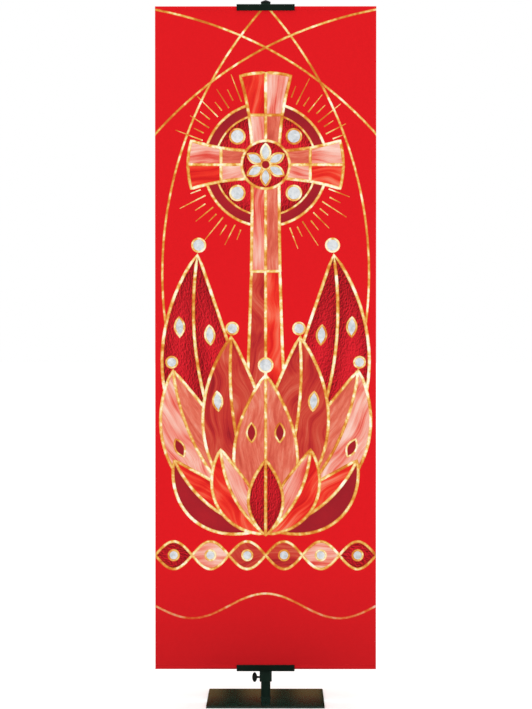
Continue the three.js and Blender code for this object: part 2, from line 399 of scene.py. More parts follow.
@dataclass(frozen=True)
class PrintedPolyester:
    """Dye-printed polyester banner cloth: matt, close woven, and paler on the back where dye comes through.

    The ground fades between two heights, and the gold sinks into it between two others.
    """

    ground: str = "#df171e"
    ground_low: str = "#c5181e"
    fade_from: float = 425 * MM
    fade_to: float = 75 * MM
    back_tint: str = "#e8a39c"
    back_share: float = 0.3
    roughness: float = 0.9
    level: float = 0.08
    # Real threads lie about 0.3 mm apart, too fine to show from a step away, so they are drawn coarser.
    thread_pitch: float = 0.55 * MM
    thread_height: float = 0.12 * MM
    slub_size: float = 7 * MM
    weave_share: float = 0.4
    # The tone's range spans the slubs' own tone and the weave's painted shade.
    tone_low: float = 0.82
    tone_high: float = 0.92
    gold_patch: float = 58 * MM
    gold_fleck: float = 11 * MM
    fleck_share: float = 0.25
    gold_lift: float = 0.075
    gold_sinks_from: float = 350 * MM
    gold_sinks_to: float = 225 * MM
    gold_sunk: float = 0.66
    sway_size: float = 150 * MM
    fold_length: float = 170 * MM
    fold_width: float = 55 * MM
    dimple_length: float = 9 * MM
    dimple_width: float = 4.5 * MM
    dimple_lean: float = 0.4
    dimple_depth: float = 0.85
    hammered_glow: float = 0.3
    hammered_cloud: float = 170 * MM
    deep_cloud: float = 120 * MM
    seed_size: float = 14 * MM

    def material(self, ink: Ink) -> bpy.types.Material:
        """Builds the material of one ink.

        Args:
            ink: The ink, which picks the colour pattern.

        Returns:
            The material.
        """
        material, tree = new_material(f"printed_polyester_{ink.name.lower()}")
        patterns = {
            Ink.GROUND: self._ground,
            Ink.GOLD: self._gold,
            Ink.HAMMERED: self._hammered,
            Ink.DEEP: self._deep,
            Ink.SILVER: self._silver,
        }
        if ink in patterns:
            colour = patterns[ink](tree)
        else:
            colour = self._combed(tree, COMBED_GLASS[ink])
        self._cloth(tree, colour)
        return material

    def _ground(self, tree: Tree) -> Socket:
        """Even red that darkens towards the foot of the banner.

        Args:
            tree: The material's node tree.

        Returns:
            The colour.
        """
        place = add_node(tree, "TexCoord").outputs["Object"]
        height = add_node(tree, "SeparateXYZ", {0: place}).outputs["Z"]
        share = add_node(
            tree, "MapRange", {"Value": height, "From Min": self.fade_to, "From Max": self.fade_from}
        )
        stops = ((0.0, self.ground_low), (1.0, self.ground))
        return colour_stops(add_node(tree, "ValToRGB", {"Fac": share.outputs["Result"]}), stops)

    def _gold(self, tree: Tree) -> Socket:
        """Printed gold leaf: amber to cream in patches, darker along its edges, sinking into the red below.

        Args:
            tree: The material's node tree.

        Returns:
            The colour.
        """
        place = add_node(tree, "TexCoord").outputs["Object"]
        patch = add_node(
            tree,
            "TexNoise",
            {
                "Vector": place,
                "Scale": 1 / self.gold_patch,
                "Detail": 3.0,
                "Roughness": 0.6,
                "Distortion": 0.6,
            },
        )
        fleck = add_node(
            tree,
            "TexNoise",
            {"Vector": place, "Scale": 1 / self.gold_fleck, "Detail": 2.0, "Roughness": 0.6},
        )
        mixed = add_node(
            tree,
            "Mix",
            {"Factor": self.fleck_share, "A": patch.outputs["Fac"], "B": fleck.outputs["Fac"]},
            data_type="FLOAT",
        )
        middle = add_node(tree, "Attribute", attribute_name="depth").outputs["Fac"]
        lifted = add_node(
            tree,
            "Math",
            {0: middle, 1: self.gold_lift, 2: mixed.outputs["Result"]},
            operation="MULTIPLY_ADD",
        )
        leaf = colour_stops(
            add_node(tree, "ValToRGB", {"Fac": lifted.outputs["Value"]}),
            (
                (0.41, "#cf6f26"),
                (0.475, "#df9038"),
                (0.52, "#e9ab52"),
                (0.57, "#f3cb7a"),
                (0.62, "#fcecb8"),
                (0.68, "#fffae4"),
            ),
        )
        height = add_node(tree, "SeparateXYZ", {0: place}).outputs["Z"]
        sunk = add_node(
            tree,
            "MapRange",
            {
                "Value": height,
                "From Min": self.gold_sinks_to,
                "From Max": self.gold_sinks_from,
                "To Min": self.gold_sunk,
                "To Max": 0.0,
            },
            interpolation_type="SMOOTHSTEP",
        )
        shown = add_node(
            tree,
            "Mix",
            {"Factor": sunk.outputs["Result"], "A": leaf, "B": self._ground(tree)},
            data_type="RGBA",
        )
        return shown.outputs["Result"]

    def _combed(self, tree: Tree, glass: CombedGlass) -> Socket:
        """Combed glass: fine strands along the pane's grain that sway, over broad changes of tone.

        The pane's own coordinates are shifted by a slow noise times sway. One noise is stretched to the
        strand's length and width, another to those of a broad fold, and the two are mixed.

        Args:
            tree: The material's node tree.
            glass: The strands and colours of the glass.

        Returns:
            The colour.
        """
        flat = add_node(tree, "UVMap", uv_map="pane").outputs["UV"]
        slow = add_node(
            tree,
            "TexNoise",
            {"Vector": flat, "Scale": 1 / self.sway_size, "Detail": 1.0, "Roughness": 0.4},
        )
        centred = add_node(
            tree, "VectorMath", {0: slow.outputs["Color"], 1: (0.5, 0.5, 0.5)}, operation="SUBTRACT"
        )
        swayed = add_node(
            tree,
            "VectorMath",
            {0: centred.outputs["Vector"], 1: (glass.sway, glass.sway, 0), 2: flat},
            operation="MULTIPLY_ADD",
        )
        strands = (glass.length, glass.width, 6.0, glass.wisps)
        folds = (self.fold_length, self.fold_width, 2.0, 0.55)
        tones = []
        for length, width, detail, rough in (strands, folds):
            stretched = add_node(
                tree,
                "VectorMath",
                {0: swayed.outputs["Vector"], 1: (1 / length, 1 / width, 1.0)},
                operation="MULTIPLY",
            )
            tone = add_node(
                tree,
                "TexNoise",
                {"Vector": stretched.outputs["Vector"], "Scale": 1.0, "Detail": detail, "Roughness": rough},
            )
            tones.append(tone.outputs["Fac"])
        mixed = add_node(
            tree, "Mix", {"Factor": glass.folds, "A": tones[0], "B": tones[1]}, data_type="FLOAT"
        )
        return colour_stops(add_node(tree, "ValToRGB", {"Fac": mixed.outputs["Result"]}), glass.stops)

    def _glow(self, tree: Tree, size: float, share: float) -> Socket:
        """How brightly a pane is lit: towards its middle, and in slow clouds.

        Args:
            tree: The material's node tree.
            size: The clouds' size in metres.
            share: How much of it the pane's middle carries.

        Returns:
            A glow from 0 to 1.
        """
        place = add_node(tree, "TexCoord").outputs["Object"]
        cloud = add_node(
            tree, "TexNoise", {"Vector": place, "Scale": 1 / size, "Detail": 1.0, "Roughness": 0.4}
        )
        middle = add_node(tree, "Attribute", attribute_name="depth").outputs["Fac"]
        mixed = add_node(
            tree, "Mix", {"Factor": share, "A": cloud.outputs["Fac"], "B": middle}, data_type="FLOAT"
        )
        spread = add_node(
            tree, "MapRange", {"Value": mixed.outputs["Result"], "From Min": 0.2, "From Max": 0.72}
        )
        return spread.outputs["Result"]

    def _hammered(self, tree: Tree) -> Socket:
        """Hammered crimson glass: small dimples, dark where a pane is thick and bright where it glows.

        Each dimple is lit on one side: the tone is a noise less the same noise half a dimple further on.

        Args:
            tree: The material's node tree.

        Returns:
            The colour.
        """
        flat = add_node(tree, "UVMap", uv_map="pane").outputs["UV"]
        heights = []
        for step in (0.0, 0.5):
            stretched = add_node(
                tree,
                "VectorMath",
                {
                    0: flat,
                    1: (1 / self.dimple_length, 1 / self.dimple_width, 1.0),
                    2: (step * self.dimple_lean, step, 0.0),
                },
                operation="MULTIPLY_ADD",
            )
            noise = add_node(
                tree,
                "TexNoise",
                {"Vector": stretched.outputs["Vector"], "Scale": 1.0, "Detail": 1.0, "Distortion": 0.8},
            )
            heights.append(noise.outputs["Fac"])
        slope = add_node(tree, "Math", {0: heights[0], 1: heights[1]}, operation="SUBTRACT")
        relief = add_node(
            tree,
            "Math",
            {0: slope.outputs["Value"], 1: self.dimple_depth, 2: 0.5},
            operation="MULTIPLY_ADD",
        )
        glow = self._glow(tree, self.hammered_cloud, 0.45)
        lit = add_node(
            tree,
            "Math",
            {0: glow, 1: self.hammered_glow, 2: relief.outputs["Value"]},
            operation="MULTIPLY_ADD",
        )
        return colour_stops(
            add_node(tree, "ValToRGB", {"Fac": lit.outputs["Value"]}),
            ((0.4, "#6f0d13"), (0.52, "#951219"), (0.64, "#b41821"), (0.74, "#cb1c27"), (0.86, "#e2222f")),
        )

    def _deep(self, tree: Tree) -> Socket:
        """Plain deep crimson glass with a slow change of tone."""
        ramp = add_node(tree, "ValToRGB", {"Fac": self._glow(tree, self.deep_cloud, 0.3)})
        return colour_stops(ramp, ((0.0, "#931c27"), (1.0, "#b5212a")))

    def _silver(self, tree: Tree) -> Socket:
        """Silver-white seedy glass with cool grey clouds.

        Args:
            tree: The material's node tree.

        Returns:
            The colour.
        """
        place = add_node(tree, "TexCoord").outputs["Object"]
        cloud = add_node(
            tree,
            "TexNoise",
            {"Vector": place, "Scale": 1 / self.seed_size, "Detail": 3.0, "Roughness": 0.6},
        )
        ramp = add_node(tree, "ValToRGB", {"Fac": cloud.outputs["Fac"]})
        return colour_stops(ramp, ((0.3, "#bfc4ca"), (0.5, "#d6dade"), (0.7, "#e9ebec")))

    def _cloth(self, tree: Tree, colour: Socket) -> None:
        """Finishes a colour as cloth: slubs, the paler back, the weave's relief, which is also painted into
        the colour as shade between the threads, and a matt shader.

        Args:
            tree: The material's node tree.
            colour: The ink's colour.
        """
        place = add_node(tree, "TexCoord").outputs["Object"]
        slub = add_node(
            tree,
            "TexNoise",
            {"Vector": place, "Scale": 1 / self.slub_size, "Detail": 3.0, "Roughness": 0.65},
        )
        turns = add_node(
            tree, "VectorMath", {0: place, "Scale": 2 * math.pi / self.thread_pitch}, operation="SCALE"
        )
        axes = add_node(tree, "SeparateXYZ", {0: turns.outputs["Vector"]})
        warp = add_node(tree, "Math", {0: axes.outputs["X"]}, operation="SINE")
        weft = add_node(tree, "Math", {0: axes.outputs["Z"]}, operation="SINE")
        weave = add_node(
            tree, "Math", {0: warp.outputs["Value"], 1: weft.outputs["Value"]}, operation="MULTIPLY"
        )
        raised = add_node(
            tree,
            "Math",
            {0: weave.outputs["Value"], 1: self.weave_share, 2: slub.outputs["Fac"]},
            operation="MULTIPLY_ADD",
        )
        # The tone is the slubs' own tone plus painted shade: raised threads come out lighter and the dips
        # between them darker.
        tone = add_node(
            tree,
            "MapRange",
            {"Value": raised.outputs["Value"], "To Min": self.tone_low, "To Max": self.tone_high},
        )
        toned = add_node(
            tree, "VectorMath", {0: colour, "Scale": tone.outputs["Result"]}, operation="SCALE"
        )
        behind = add_node(tree, "Attribute", attribute_name="reverse")
        share = add_node(
            tree, "Math", {0: behind.outputs["Fac"], 1: self.back_share}, operation="MULTIPLY"
        )
        inked = add_node(
            tree,
            "Mix",
            {"Factor": share.outputs["Value"], "A": toned.outputs["Vector"], "B": linear(self.back_tint)},
            data_type="RGBA",
        )
        relief = add_node(
            tree,
            "Bump",
            {"Height": raised.outputs["Value"], "Strength": 0.35, "Distance": self.thread_height},
        )
        shader = add_node(
            tree,
            "BsdfPrincipled",
            {
                "Base Color": inked.outputs["Result"],
                "Roughness": self.roughness,
                "Specular IOR Level": self.level,
                "Normal": relief.outputs["Normal"],
            },
        )
        add_node(tree, "OutputMaterial", {"Surface": shader.outputs["BSDF"]})


@dataclass(frozen=True)
class SatinEnamel:
    """Black satin enamel, stoved on folded sheet: a fine orange peel breaks up whatever it mirrors.

    Slow clouds of faint dust and wear turn the colour towards worn, and the roughness between two shares of
    itself. Level is how strongly it mirrors. The finishes below are made in the same way.
    """

    name: str = "satin_stoved_enamel"
    colour: str = "#0a1811"
    worn: str = "#13211a"
    roughness: float = 0.5
    level: float = 0.05
    peel_size: float = 2.2 * MM
    peel_depth: float = 0.03 * MM
    cloud_size: float = 70 * MM
    polished: float = 0.88
    dulled: float = 1.15

    def material(self) -> bpy.types.Material:
        """Builds the material, or finds the one that a like piece already has.

        Returns:
            The material.
        """
        made = bpy.data.materials.get(self.name)
        if made is not None:
            return made
        material, tree = new_material(self.name)
        place = add_node(tree, "TexCoord").outputs["Object"]
        cloud = add_node(
            tree,
            "TexNoise",
            {"Vector": place, "Scale": 1 / self.cloud_size, "Detail": 6.0, "Roughness": 0.62},
        )
        ramp = add_node(tree, "ValToRGB", {"Fac": cloud.outputs["Fac"]})
        colour = colour_stops(ramp, ((0.35, self.colour), (0.75, self.worn)))
        gloss = add_node(
            tree,
            "MapRange",
            {
                "Value": cloud.outputs["Fac"],
                "From Min": 0.3,
                "From Max": 0.7,
                "To Min": self.roughness * self.polished,
                "To Max": self.roughness * self.dulled,
            },
        )
        peel = add_node(tree, "TexNoise", {"Vector": place, "Scale": 1 / self.peel_size, "Detail": 2.0})
        relief = add_node(
            tree, "Bump", {"Height": peel.outputs["Fac"], "Strength": 0.5, "Distance": self.peel_depth}
        )
        shader = add_node(
            tree,
            "BsdfPrincipled",
            {
                "Base Color": colour,
                "Roughness": gloss.outputs["Result"],
                "Specular IOR Level": self.level,
                "Normal": relief.outputs["Normal"],
            },
        )
        add_node(tree, "OutputMaterial", {"Surface": shader.outputs["BSDF"]})
        return material


@dataclass(frozen=True)
class PaintedPalerTubeEnamel(SatinEnamel):
    """The same enamel on drawn tube and turned rings, its colour painted paler to make up for the shade
    that the dark plate below and the cloth above cast on them.
    """

    name: str = "satin_stoved_enamel_tube_painted_paler"
    # Painted light: these colours are paler than the channels' enamel, to cancel the shade on the tube and
    # rings.
    colour: str = "#17271f"
    worn: str = "#21332b"


@dataclass(frozen=True)
class GlossEnamel(SatinEnamel):
    """Gloss stoved enamel on flat plate: it flows out level, so it mirrors, with only a slow swell."""

    name: str = "gloss_stoved_enamel"
    colour: str = "#14241d"
    worn: str = "#1a2b24"
    roughness: float = 0.07
    level: float = 0.35
    peel_size: float = 6 * MM
    peel_depth: float = 0.003 * MM


@dataclass(frozen=True)
class WeldEnamel(SatinEnamel):
    """Enamel over a weld bead: dull, because the bead's scale and spatter show through it."""

    name: str = "enamelled_weld_bead"
    colour: str = "#14221b"
    worn: str = "#1c2c24"
    roughness: float = 0.6
    peel_size: float = 1.2 * MM


@dataclass(frozen=True)
class MouldedPlastic(SatinEnamel):
    """Black polyethylene from a mould: a little waxy, with the mould's fine grain."""

    name: str = "moulded_black_plastic"
    colour: str = "#0e1310"
    worn: str = "#181d1a"
    roughness: float = 0.55
    level: float = 0.14
    peel_size: float = 0.9 * MM


@dataclass(frozen=True)
class BlackOxide(SatinEnamel):
    """Black oxide on steel: thin and oily, so that ridges and edges catch a soft light."""

    name: str = "black_oxide_steel"
    colour: str = "#0d1210"
    worn: str = "#1a201d"
    roughness: float = 0.42
    level: float = 0.2
    peel_size: float = 1.5 * MM


@dataclass(frozen=True)
class Thread:
    """Spun polyester sewing thread, red to match the cloth: matt, with pale fibres in its twist."""

    colour: str = "#c4161c"
    light: str = "#dc3036"
    fibre_size: float = 0.8 * MM

    def material(self) -> bpy.types.Material:
        """Builds the material.

        Returns:
            The material.
        """
        material, tree = new_material("polyester_thread")
        place = add_node(tree, "TexCoord").outputs["Object"]
        fibre = add_node(tree, "TexNoise", {"Vector": place, "Scale": 1 / self.fibre_size, "Detail": 2.0})
        ramp = add_node(tree, "ValToRGB", {"Fac": fibre.outputs["Fac"]})
        colour = colour_stops(ramp, ((0.3, self.colour), (0.7, self.light)))
        shader = add_node(
            tree, "BsdfPrincipled", {"Base Color": colour, "Roughness": 0.75, "Specular IOR Level": 0.2}
        )
        add_node(tree, "OutputMaterial", {"Surface": shader.outputs["BSDF"]})
        return material


@dataclass(frozen=True)
class StudioPaper:
    """Seamless white studio paper: matt, and very slightly uneven in tone."""

    colour: str = "#fdfdfc"
    shade: str = "#fafaf8"
    cloud_size: float = 500 * MM

    def material(self) -> bpy.types.Material:
        """Builds the material.

        Returns:
            The material.
        """
        material, tree = new_material("studio_paper")
        place = add_node(tree, "TexCoord").outputs["Object"]
        cloud = add_node(tree, "TexNoise", {"Vector": place, "Scale": 1 / self.cloud_size, "Detail": 2.0})
        ramp = add_node(tree, "ValToRGB", {"Fac": cloud.outputs["Fac"]})
        colour = colour_stops(ramp, ((0.3, self.shade), (0.7, self.colour)))
        shader = add_node(
            tree, "BsdfPrincipled", {"Base Color": colour, "Roughness": 0.95, "Specular IOR Level": 0.0}
        )
        add_node(tree, "OutputMaterial", {"Surface": shader.outputs["BSDF"]})
        return material


@dataclass(frozen=True)
class ReflectorCard:
    """A glowing card that only gloss sees: its colours are a painted reflection, which the plate mirrors so
    that it reads as dark, with colour in it.

    Its colour goes by height: olive brown at the foot, then a deep red brown, dark green, and grey at the
    top. Soft bays, brown black and then green, darken it by bay_depth w^n, where w is half of
    1 + cos(2 pi (x - bay_middle) / bay_pitch). n falls from bay_back to bay_front over the heights that the
    plate mirrors from its back to its front, so that the bays widen towards its front.
    """

    bay_pitch: float = 162.5 * MM
    bay_middle: float = 53.5 * MM
    bay_depth: float = 0.84
    bay_back: float = 1.6
    bay_front: float = 0.9
    mirrored: tuple[float, float] = (130 * MM, 180 * MM)
    bays_fade: tuple[float, float] = (200 * MM, 400 * MM)
    colours: Stops = (
        (0.0, "#836640"),
        (0.154, "#80603a"),
        (0.164, "#682a1e"),
        (0.178, "#4c2416"),
        (0.188, "#1a2c22"),
        (0.3, "#1a2c22"),
        (0.6, "#59605c"),
        (1.0, "#a8abaa"),
    )
    bay_colours: Stops = ((0.14, "#1c1206"), (0.172, "#0b2218"))

    def material(self) -> bpy.types.Material:
        """Builds the material.

        Returns:
            The material.
        """
        material, tree = new_material("reflector_card")
        place = add_node(tree, "TexCoord").outputs["Object"]
        axes = add_node(tree, "SeparateXYZ", {0: place})
        across, height = axes.outputs["X"], axes.outputs["Z"]
        colour = colour_stops(add_node(tree, "ValToRGB", {"Fac": height}), self.colours)
        turn = 2 * math.pi / self.bay_pitch
        phase = add_node(
            tree, "Math", {0: across, 1: turn, 2: -self.bay_middle * turn}, operation="MULTIPLY_ADD"
        )
        wave = add_node(tree, "Math", {0: phase.outputs["Value"]}, operation="COSINE")
        share = add_node(
            tree, "Math", {0: wave.outputs["Value"], 1: 0.5, 2: 0.5}, operation="MULTIPLY_ADD"
        )
        power = add_node(
            tree,
            "MapRange",
            {
                "Value": height,
                "From Min": self.mirrored[0],
                "From Max": self.mirrored[1],
                "To Min": self.bay_back,
                "To Max": self.bay_front,
            },
        )
        bay = add_node(
            tree, "Math", {0: share.outputs["Value"], 1: power.outputs["Result"]}, operation="POWER"
        )
        depth = add_node(
            tree,
            "MapRange",
            {
                "Value": height,
                "From Min": self.bays_fade[0],
                "From Max": self.bays_fade[1],
                "To Min": self.bay_depth,
                "To Max": 0.0,
            },
        )
        darkened = add_node(
            tree, "Math", {0: bay.outputs["Value"], 1: depth.outputs["Result"]}, operation="MULTIPLY"
        )
        dark = colour_stops(add_node(tree, "ValToRGB", {"Fac": height}), self.bay_colours)
        shaded = add_node(
            tree, "Mix", {"Factor": darkened.outputs["Value"], "A": colour, "B": dark}, data_type="RGBA"
        )
        shown = add_node(tree, "Emission", {"Color": shaded.outputs["Result"], "Strength": 1.0})
        add_node(tree, "OutputMaterial", {"Surface": shown.outputs["Emission"]})
        return material


# ---- Printed design --------------------------------------------------------------------------------------


def bow(start: Spot, end: Spot, sag: float, count: int = 24) -> Array:
    """A parabola between two points: the chord plus its left normal times 4 sag t (1 - t), t from 0 to 1.

    Args:
        start: Where it starts.
        end: Where it ends.
        sag: How far its middle stands to the left of its chord.
        count: Number of points.

    Returns:
        Rows of x and z.
    """
    first, last = np.array(start, float), np.array(end, float)
    share = np.linspace(0, 1, count)[:, None]
    chord = last - first
    left = np.array([-chord[1], chord[0]]) / np.linalg.norm(chord)
    return first + chord * share + left * (sag * 4 * share * (1 - share))


def lens(start: Spot, end: Spot, sag: float, count: int) -> Array:
    """A closed pointed oval: one bow out and the same bow back, each with count points."""
    return np.vstack([bow(start, end, sag, count), bow(end, start, sag, count)[1:-1]])


def left_normals(path: Array) -> Array:
    """Unit normals to the left of a path, from the differences of its neighbouring points.

    Args:
        path: Rows of x and z.

    Returns:
        One normal for each point.
    """
    run = np.gradient(path, axis=0)
    run /= np.linalg.norm(run, axis=1)[:, None]
    return np.stack([-run[:, 1], run[:, 0]], axis=1)


@dataclass(frozen=True)
class Mark:
    """One printed mark: a pane with a gold outline, or, with no ink, a gold line along an open path.

    Its line is that gold line's width, and its grain the direction of its strands in degrees.
    """

    outline: Array
    ink: Ink | None
    line: float
    grain: float = 90.0

    def ends(self) -> tuple[Array, Array]:
        """Finds its edges.

        Returns:
            The first and the last point of each edge.
        """
        if self.ink is None:
            return self.outline[:-1], self.outline[1:]
        return self.outline, np.roll(self.outline, -1, axis=0)

    def flipped(self) -> Mark:
        """Its mirror image across the banner's middle."""
        return Mark(self.outline * (-1, 1), self.ink, self.line, 180 - self.grain)

    def near(self, points: Array) -> Array:
        """Numbers of the points inside its box, grown by its line."""
        low, high = self.outline.min(axis=0) - self.line, self.outline.max(axis=0) + self.line
        return np.flatnonzero(((points >= low) & (points <= high)).all(axis=1))

    def holds(self, points: Array) -> Array:
        """Whether each point lies inside: a ray to its left crosses the outline an odd number of times.

        Args:
            points: Rows of x and z.

        Returns:
            True or False for each point.
        """
        first, last = self.ends()
        x, z = points[:, :1], points[:, 1:]
        spans = (first[:, 1] > z) != (last[:, 1] > z)
        rise = np.where(last[:, 1] == first[:, 1], 1.0, last[:, 1] - first[:, 1])
        crossing = first[:, 0] + (z - first[:, 1]) * (last[:, 0] - first[:, 0]) / rise
        return (spans & (crossing < x)).sum(axis=1) % 2 == 1

    def distance(self, points: Array) -> Array:
        """Distance to the nearest edge, by dropping each point on each edge within that edge's ends.

        Args:
            points: Rows of x and z.

        Returns:
            One distance for each point.
        """
        first, last = self.ends()
        run = last - first
        offset = points[:, None, :] - first
        share = (offset * run).sum(axis=2) / np.maximum((run * run).sum(axis=1), TINY)
        gap = offset - np.clip(share, 0, 1)[..., None] * run
        return np.linalg.norm(gap, axis=2).min(axis=1)

    def cuts(self) -> list[tuple[Array, bool]]:
        """Where its edges have to be cut into the mesh: its outline, and both sides of its gold line.

        Returns:
            Paths, each with whether it closes on itself.
        """
        closed = self.ink is not None
        if self.line == 0:
            return [(self.outline, closed)]
        path = np.vstack([self.outline[-1:], self.outline, self.outline[:1]]) if closed else self.outline
        normals = left_normals(path)[1:-1] if closed else left_normals(path)
        return [(self.outline + normals * side * self.line / 2, closed) for side in (-1, 0, 1)]


@dataclass
class Design:
    """The whole print, listed from the back to the front. Sizes are in millimetres.

    Bold, lead, thin and fine are the widths of its gold lines.
    """

    cross_z: float = 1480.0
    bold: float = 7.4
    lead: float = 8.4
    thin: float = 6.2
    fine: float = 5.6
    halo: float = 170.0
    halo_inside: float = 140.0
    disc: float = 20.0
    disc_out: float = 78.0
    roundel: float = 66.0
    pupil: float = 13.0
    petal_from: float = 10.0
    petal_to: float = 58.0
    petal_sag: float = 13.0
    drop_half: float = 27.0
    drop_sag: float = 13.0
    arm_near: float = 37.0
    arm_swell: float = 9.0
    arm_flare: float = 2.2
    marks: list[Mark] = field(default_factory=list)

    def draw(self) -> list[Mark]:
        """Draws every mark, later ones over earlier ones.

        Returns:
            The marks.
        """
        self._arcs()
        self._rays()
        self._halo()
        self._cross()
        self._roundel()
        self._leaves()
        self._band()
        return self.marks

    def _pair(self, marks: list[Mark]) -> None:
        """Adds marks and their mirror images."""
        for mark in marks:
            self.marks += [mark, mark.flipped()]

    def _disc(self, x: float, z: float, radius: float, ink: Ink, line: float, sides: int = 48) -> Mark:
        """A round pane."""
        return Mark(arc((x, z), radius, 0, 360 - 360 / sides, sides), ink, line)

    def _leaf(
        self,
        base: Spot,
        tip: Spot,
        wide: float,
        sag: float,
        inks: tuple[Ink, Ink],
        fat: float = 0.46,
        drops: tuple[tuple[float, int, Ink], ...] = (),
        bead: float = 0.0,
    ) -> list[Mark]:
        """A pointed leaf in two panes on a bowed midrib.

        Its half width at share t along the rib is wide / 2 times sin(pi t^p)^0.85, with p set so that the
        widest place is at the share fat.

        Args:
            base: Where the leaf starts.
            tip: Where it ends.
            wide: Its full width.
            sag: How far the midrib bows to its left.
            inks: The left and the right half.
            fat: Where it is widest.
            drops: Small pointed panes in its halves: share along the rib, side (1 is left) and ink.
            bead: Radius of a silver bead that stands off its tip, or 0.

        Returns:
            The panes, drops and bead.
        """
        rib = bow(base, tip, sag, 28)
        share = np.linspace(0, 1, len(rib))
        half = wide / 2 * np.sin(np.pi * share ** (math.log(0.5) / math.log(fat))) ** 0.85
        across = left_normals(rib)
        reach = across * half[:, None]
        grain = math.degrees(math.atan2(tip[1] - base[1], tip[0] - base[0]))
        marks = []
        for side, ink in zip((rib + reach, rib - reach), inks):
            marks.append(Mark(np.vstack([rib, side[-2:0:-1]]), ink, self.lead, grain))
        for along, side, ink in drops:
            at = round(along * (len(rib) - 1))
            middle = rib[at] + side * 0.5 * reach[at]
            run = np.array([across[at][1], -across[at][0]])
            ends = (middle - self.drop_half * run, middle + self.drop_half * run)
            marks.append(Mark(lens(*ends, -self.drop_sag, 12), ink, self.fine, grain))
        if bead:
            run = rib[-1] - rib[-2]
            spot = rib[-1] + run / np.linalg.norm(run) * (bead + self.lead)
            marks.append(self._disc(spot[0], spot[1], bead, Ink.SILVER, self.fine))
        return marks

    def _arcs(self) -> None:
        """A tall pointed arch, and two long arcs that sweep across it, all in thin gold line."""
        arch = arc((-815, 1180), 1100, start=-40, sweep=83, count=200)
        sweep = bow((-312, 1556), (312, 1908), sag=62, count=120)
        self._pair([Mark(arch, None, self.thin), Mark(sweep, None, self.thin)])

    def _rays(self) -> None:
        """Fine rays about the halo in a repeat of four lengths, left out where the cross has an arm."""
        spans = [(186, 248), (192, 222), (186, 266), (198, 232)]
        pitch, arm_clear = 6, 20
        half_near, half_far = 2.0, 1.0
        for number in range(360 // pitch):
            turn = pitch * number + pitch // 2
            if min(turn % 90, 90 - turn % 90) < arm_clear:
                continue
            near, far = spans[number % len(spans)]
            angle = math.radians(turn)
            along = np.array([math.cos(angle), math.sin(angle)])
            across = np.array([-along[1], along[0]])
            ends = np.array([[near, half_near], [far, half_far], [far, -half_far], [near, -half_near]])
            outline = (0, self.cross_z) + ends[:, :1] * along + ends[:, 1:] * across
            self.marks.append(Mark(outline, Ink.GOLD, 0))

    def _halo(self) -> None:
        """A ring with four silver discs between the arms."""
        self.marks.append(self._disc(0, self.cross_z, self.halo, Ink.DEEP, self.bold, 120))
        self.marks.append(self._disc(0, self.cross_z, self.halo_inside, Ink.HAMMERED, self.fine, 120))
        for x in (-self.disc_out, self.disc_out):
            for rise in (-self.disc_out, self.disc_out):
                self.marks.append(self._disc(x, self.cross_z + rise, self.disc, Ink.SILVER, self.fine))

    def _arm(self, angle: float, length: float, far: float, cut: float, inks: tuple[Ink, ...]) -> None:
        """One flared arm in four panes.

        Its half width at s along it is arm_near + (far - arm_near) (s / length)^arm_flare, and its end bows
        out by arm_swell.

        Args:
            angle: Its direction in degrees.
            length: From the cross's middle to its end.
            far: Its half width at the end.
            cut: Where it is cut across, as a share of its length.
            inks: Near left, near right, far left and far right.
        """
        turn = math.radians(angle)
        along = np.array([math.cos(turn), math.sin(turn)])
        across = np.array([-along[1], along[0]])

        def at(run: Array, wide: Array) -> Array:
            """Places given along and across the arm."""
            return (0, self.cross_z) + np.outer(run, along) + np.outer(wide, across)

        for (start, stop), pair in zip(((0, cut * length), (cut * length, length)), (inks[:2], inks[2:])):
            run = np.linspace(start, stop, 16)
            half = self.arm_near + (far - self.arm_near) * (run / length) ** self.arm_flare
            for side, ink in zip((1, -1), pair):
                wide = np.linspace(side * half[-1], 0, 9)[1:]
                end = stop + (self.arm_swell * (1 - (wide / far) ** 2) if stop == length else 0 * wide)
                foot = at(np.array([start]), np.array([0.0]))
                outline = np.vstack([at(run, side * half), at(end, wide), foot])
                self.marks.append(Mark(outline, ink, self.lead, angle))

    def _cross(self) -> None:
        """A ringed cross with flared arms, its long arm going down behind the leaves."""
        coral, streak, flame = Ink.CORAL, Ink.STREAK, Ink.FLAME
        self._arm(90, 244, 70, 0.56, (coral, streak, flame, coral))
        self._arm(0, 205, 66, 0.6, (streak, coral, coral, flame))
        self._arm(180, 205, 66, 0.6, (coral, streak, flame, coral))
        self._arm(270, 700, 56, 0.42, (streak, coral, flame, Ink.SWIRL))

    def _roundel(self) -> None:
        """A six-petalled roundel on the cross's middle."""
        self.marks.append(self._disc(0, self.cross_z, self.roundel, Ink.HAMMERED, self.bold, 72))
        middle = np.array([0, self.cross_z])
        for number in range(6):
            turn = 60 * number + 30
            along = np.array([math.cos(math.radians(turn)), math.sin(math.radians(turn))])
            ends = (middle + self.petal_from * along, middle + self.petal_to * along)
            self.marks.append(Mark(lens(*ends, -self.petal_sag, 14), Ink.SILVER, self.fine, turn))
        self.marks.append(self._disc(0, self.cross_z, self.pupil, Ink.DEEP, self.fine, 32))

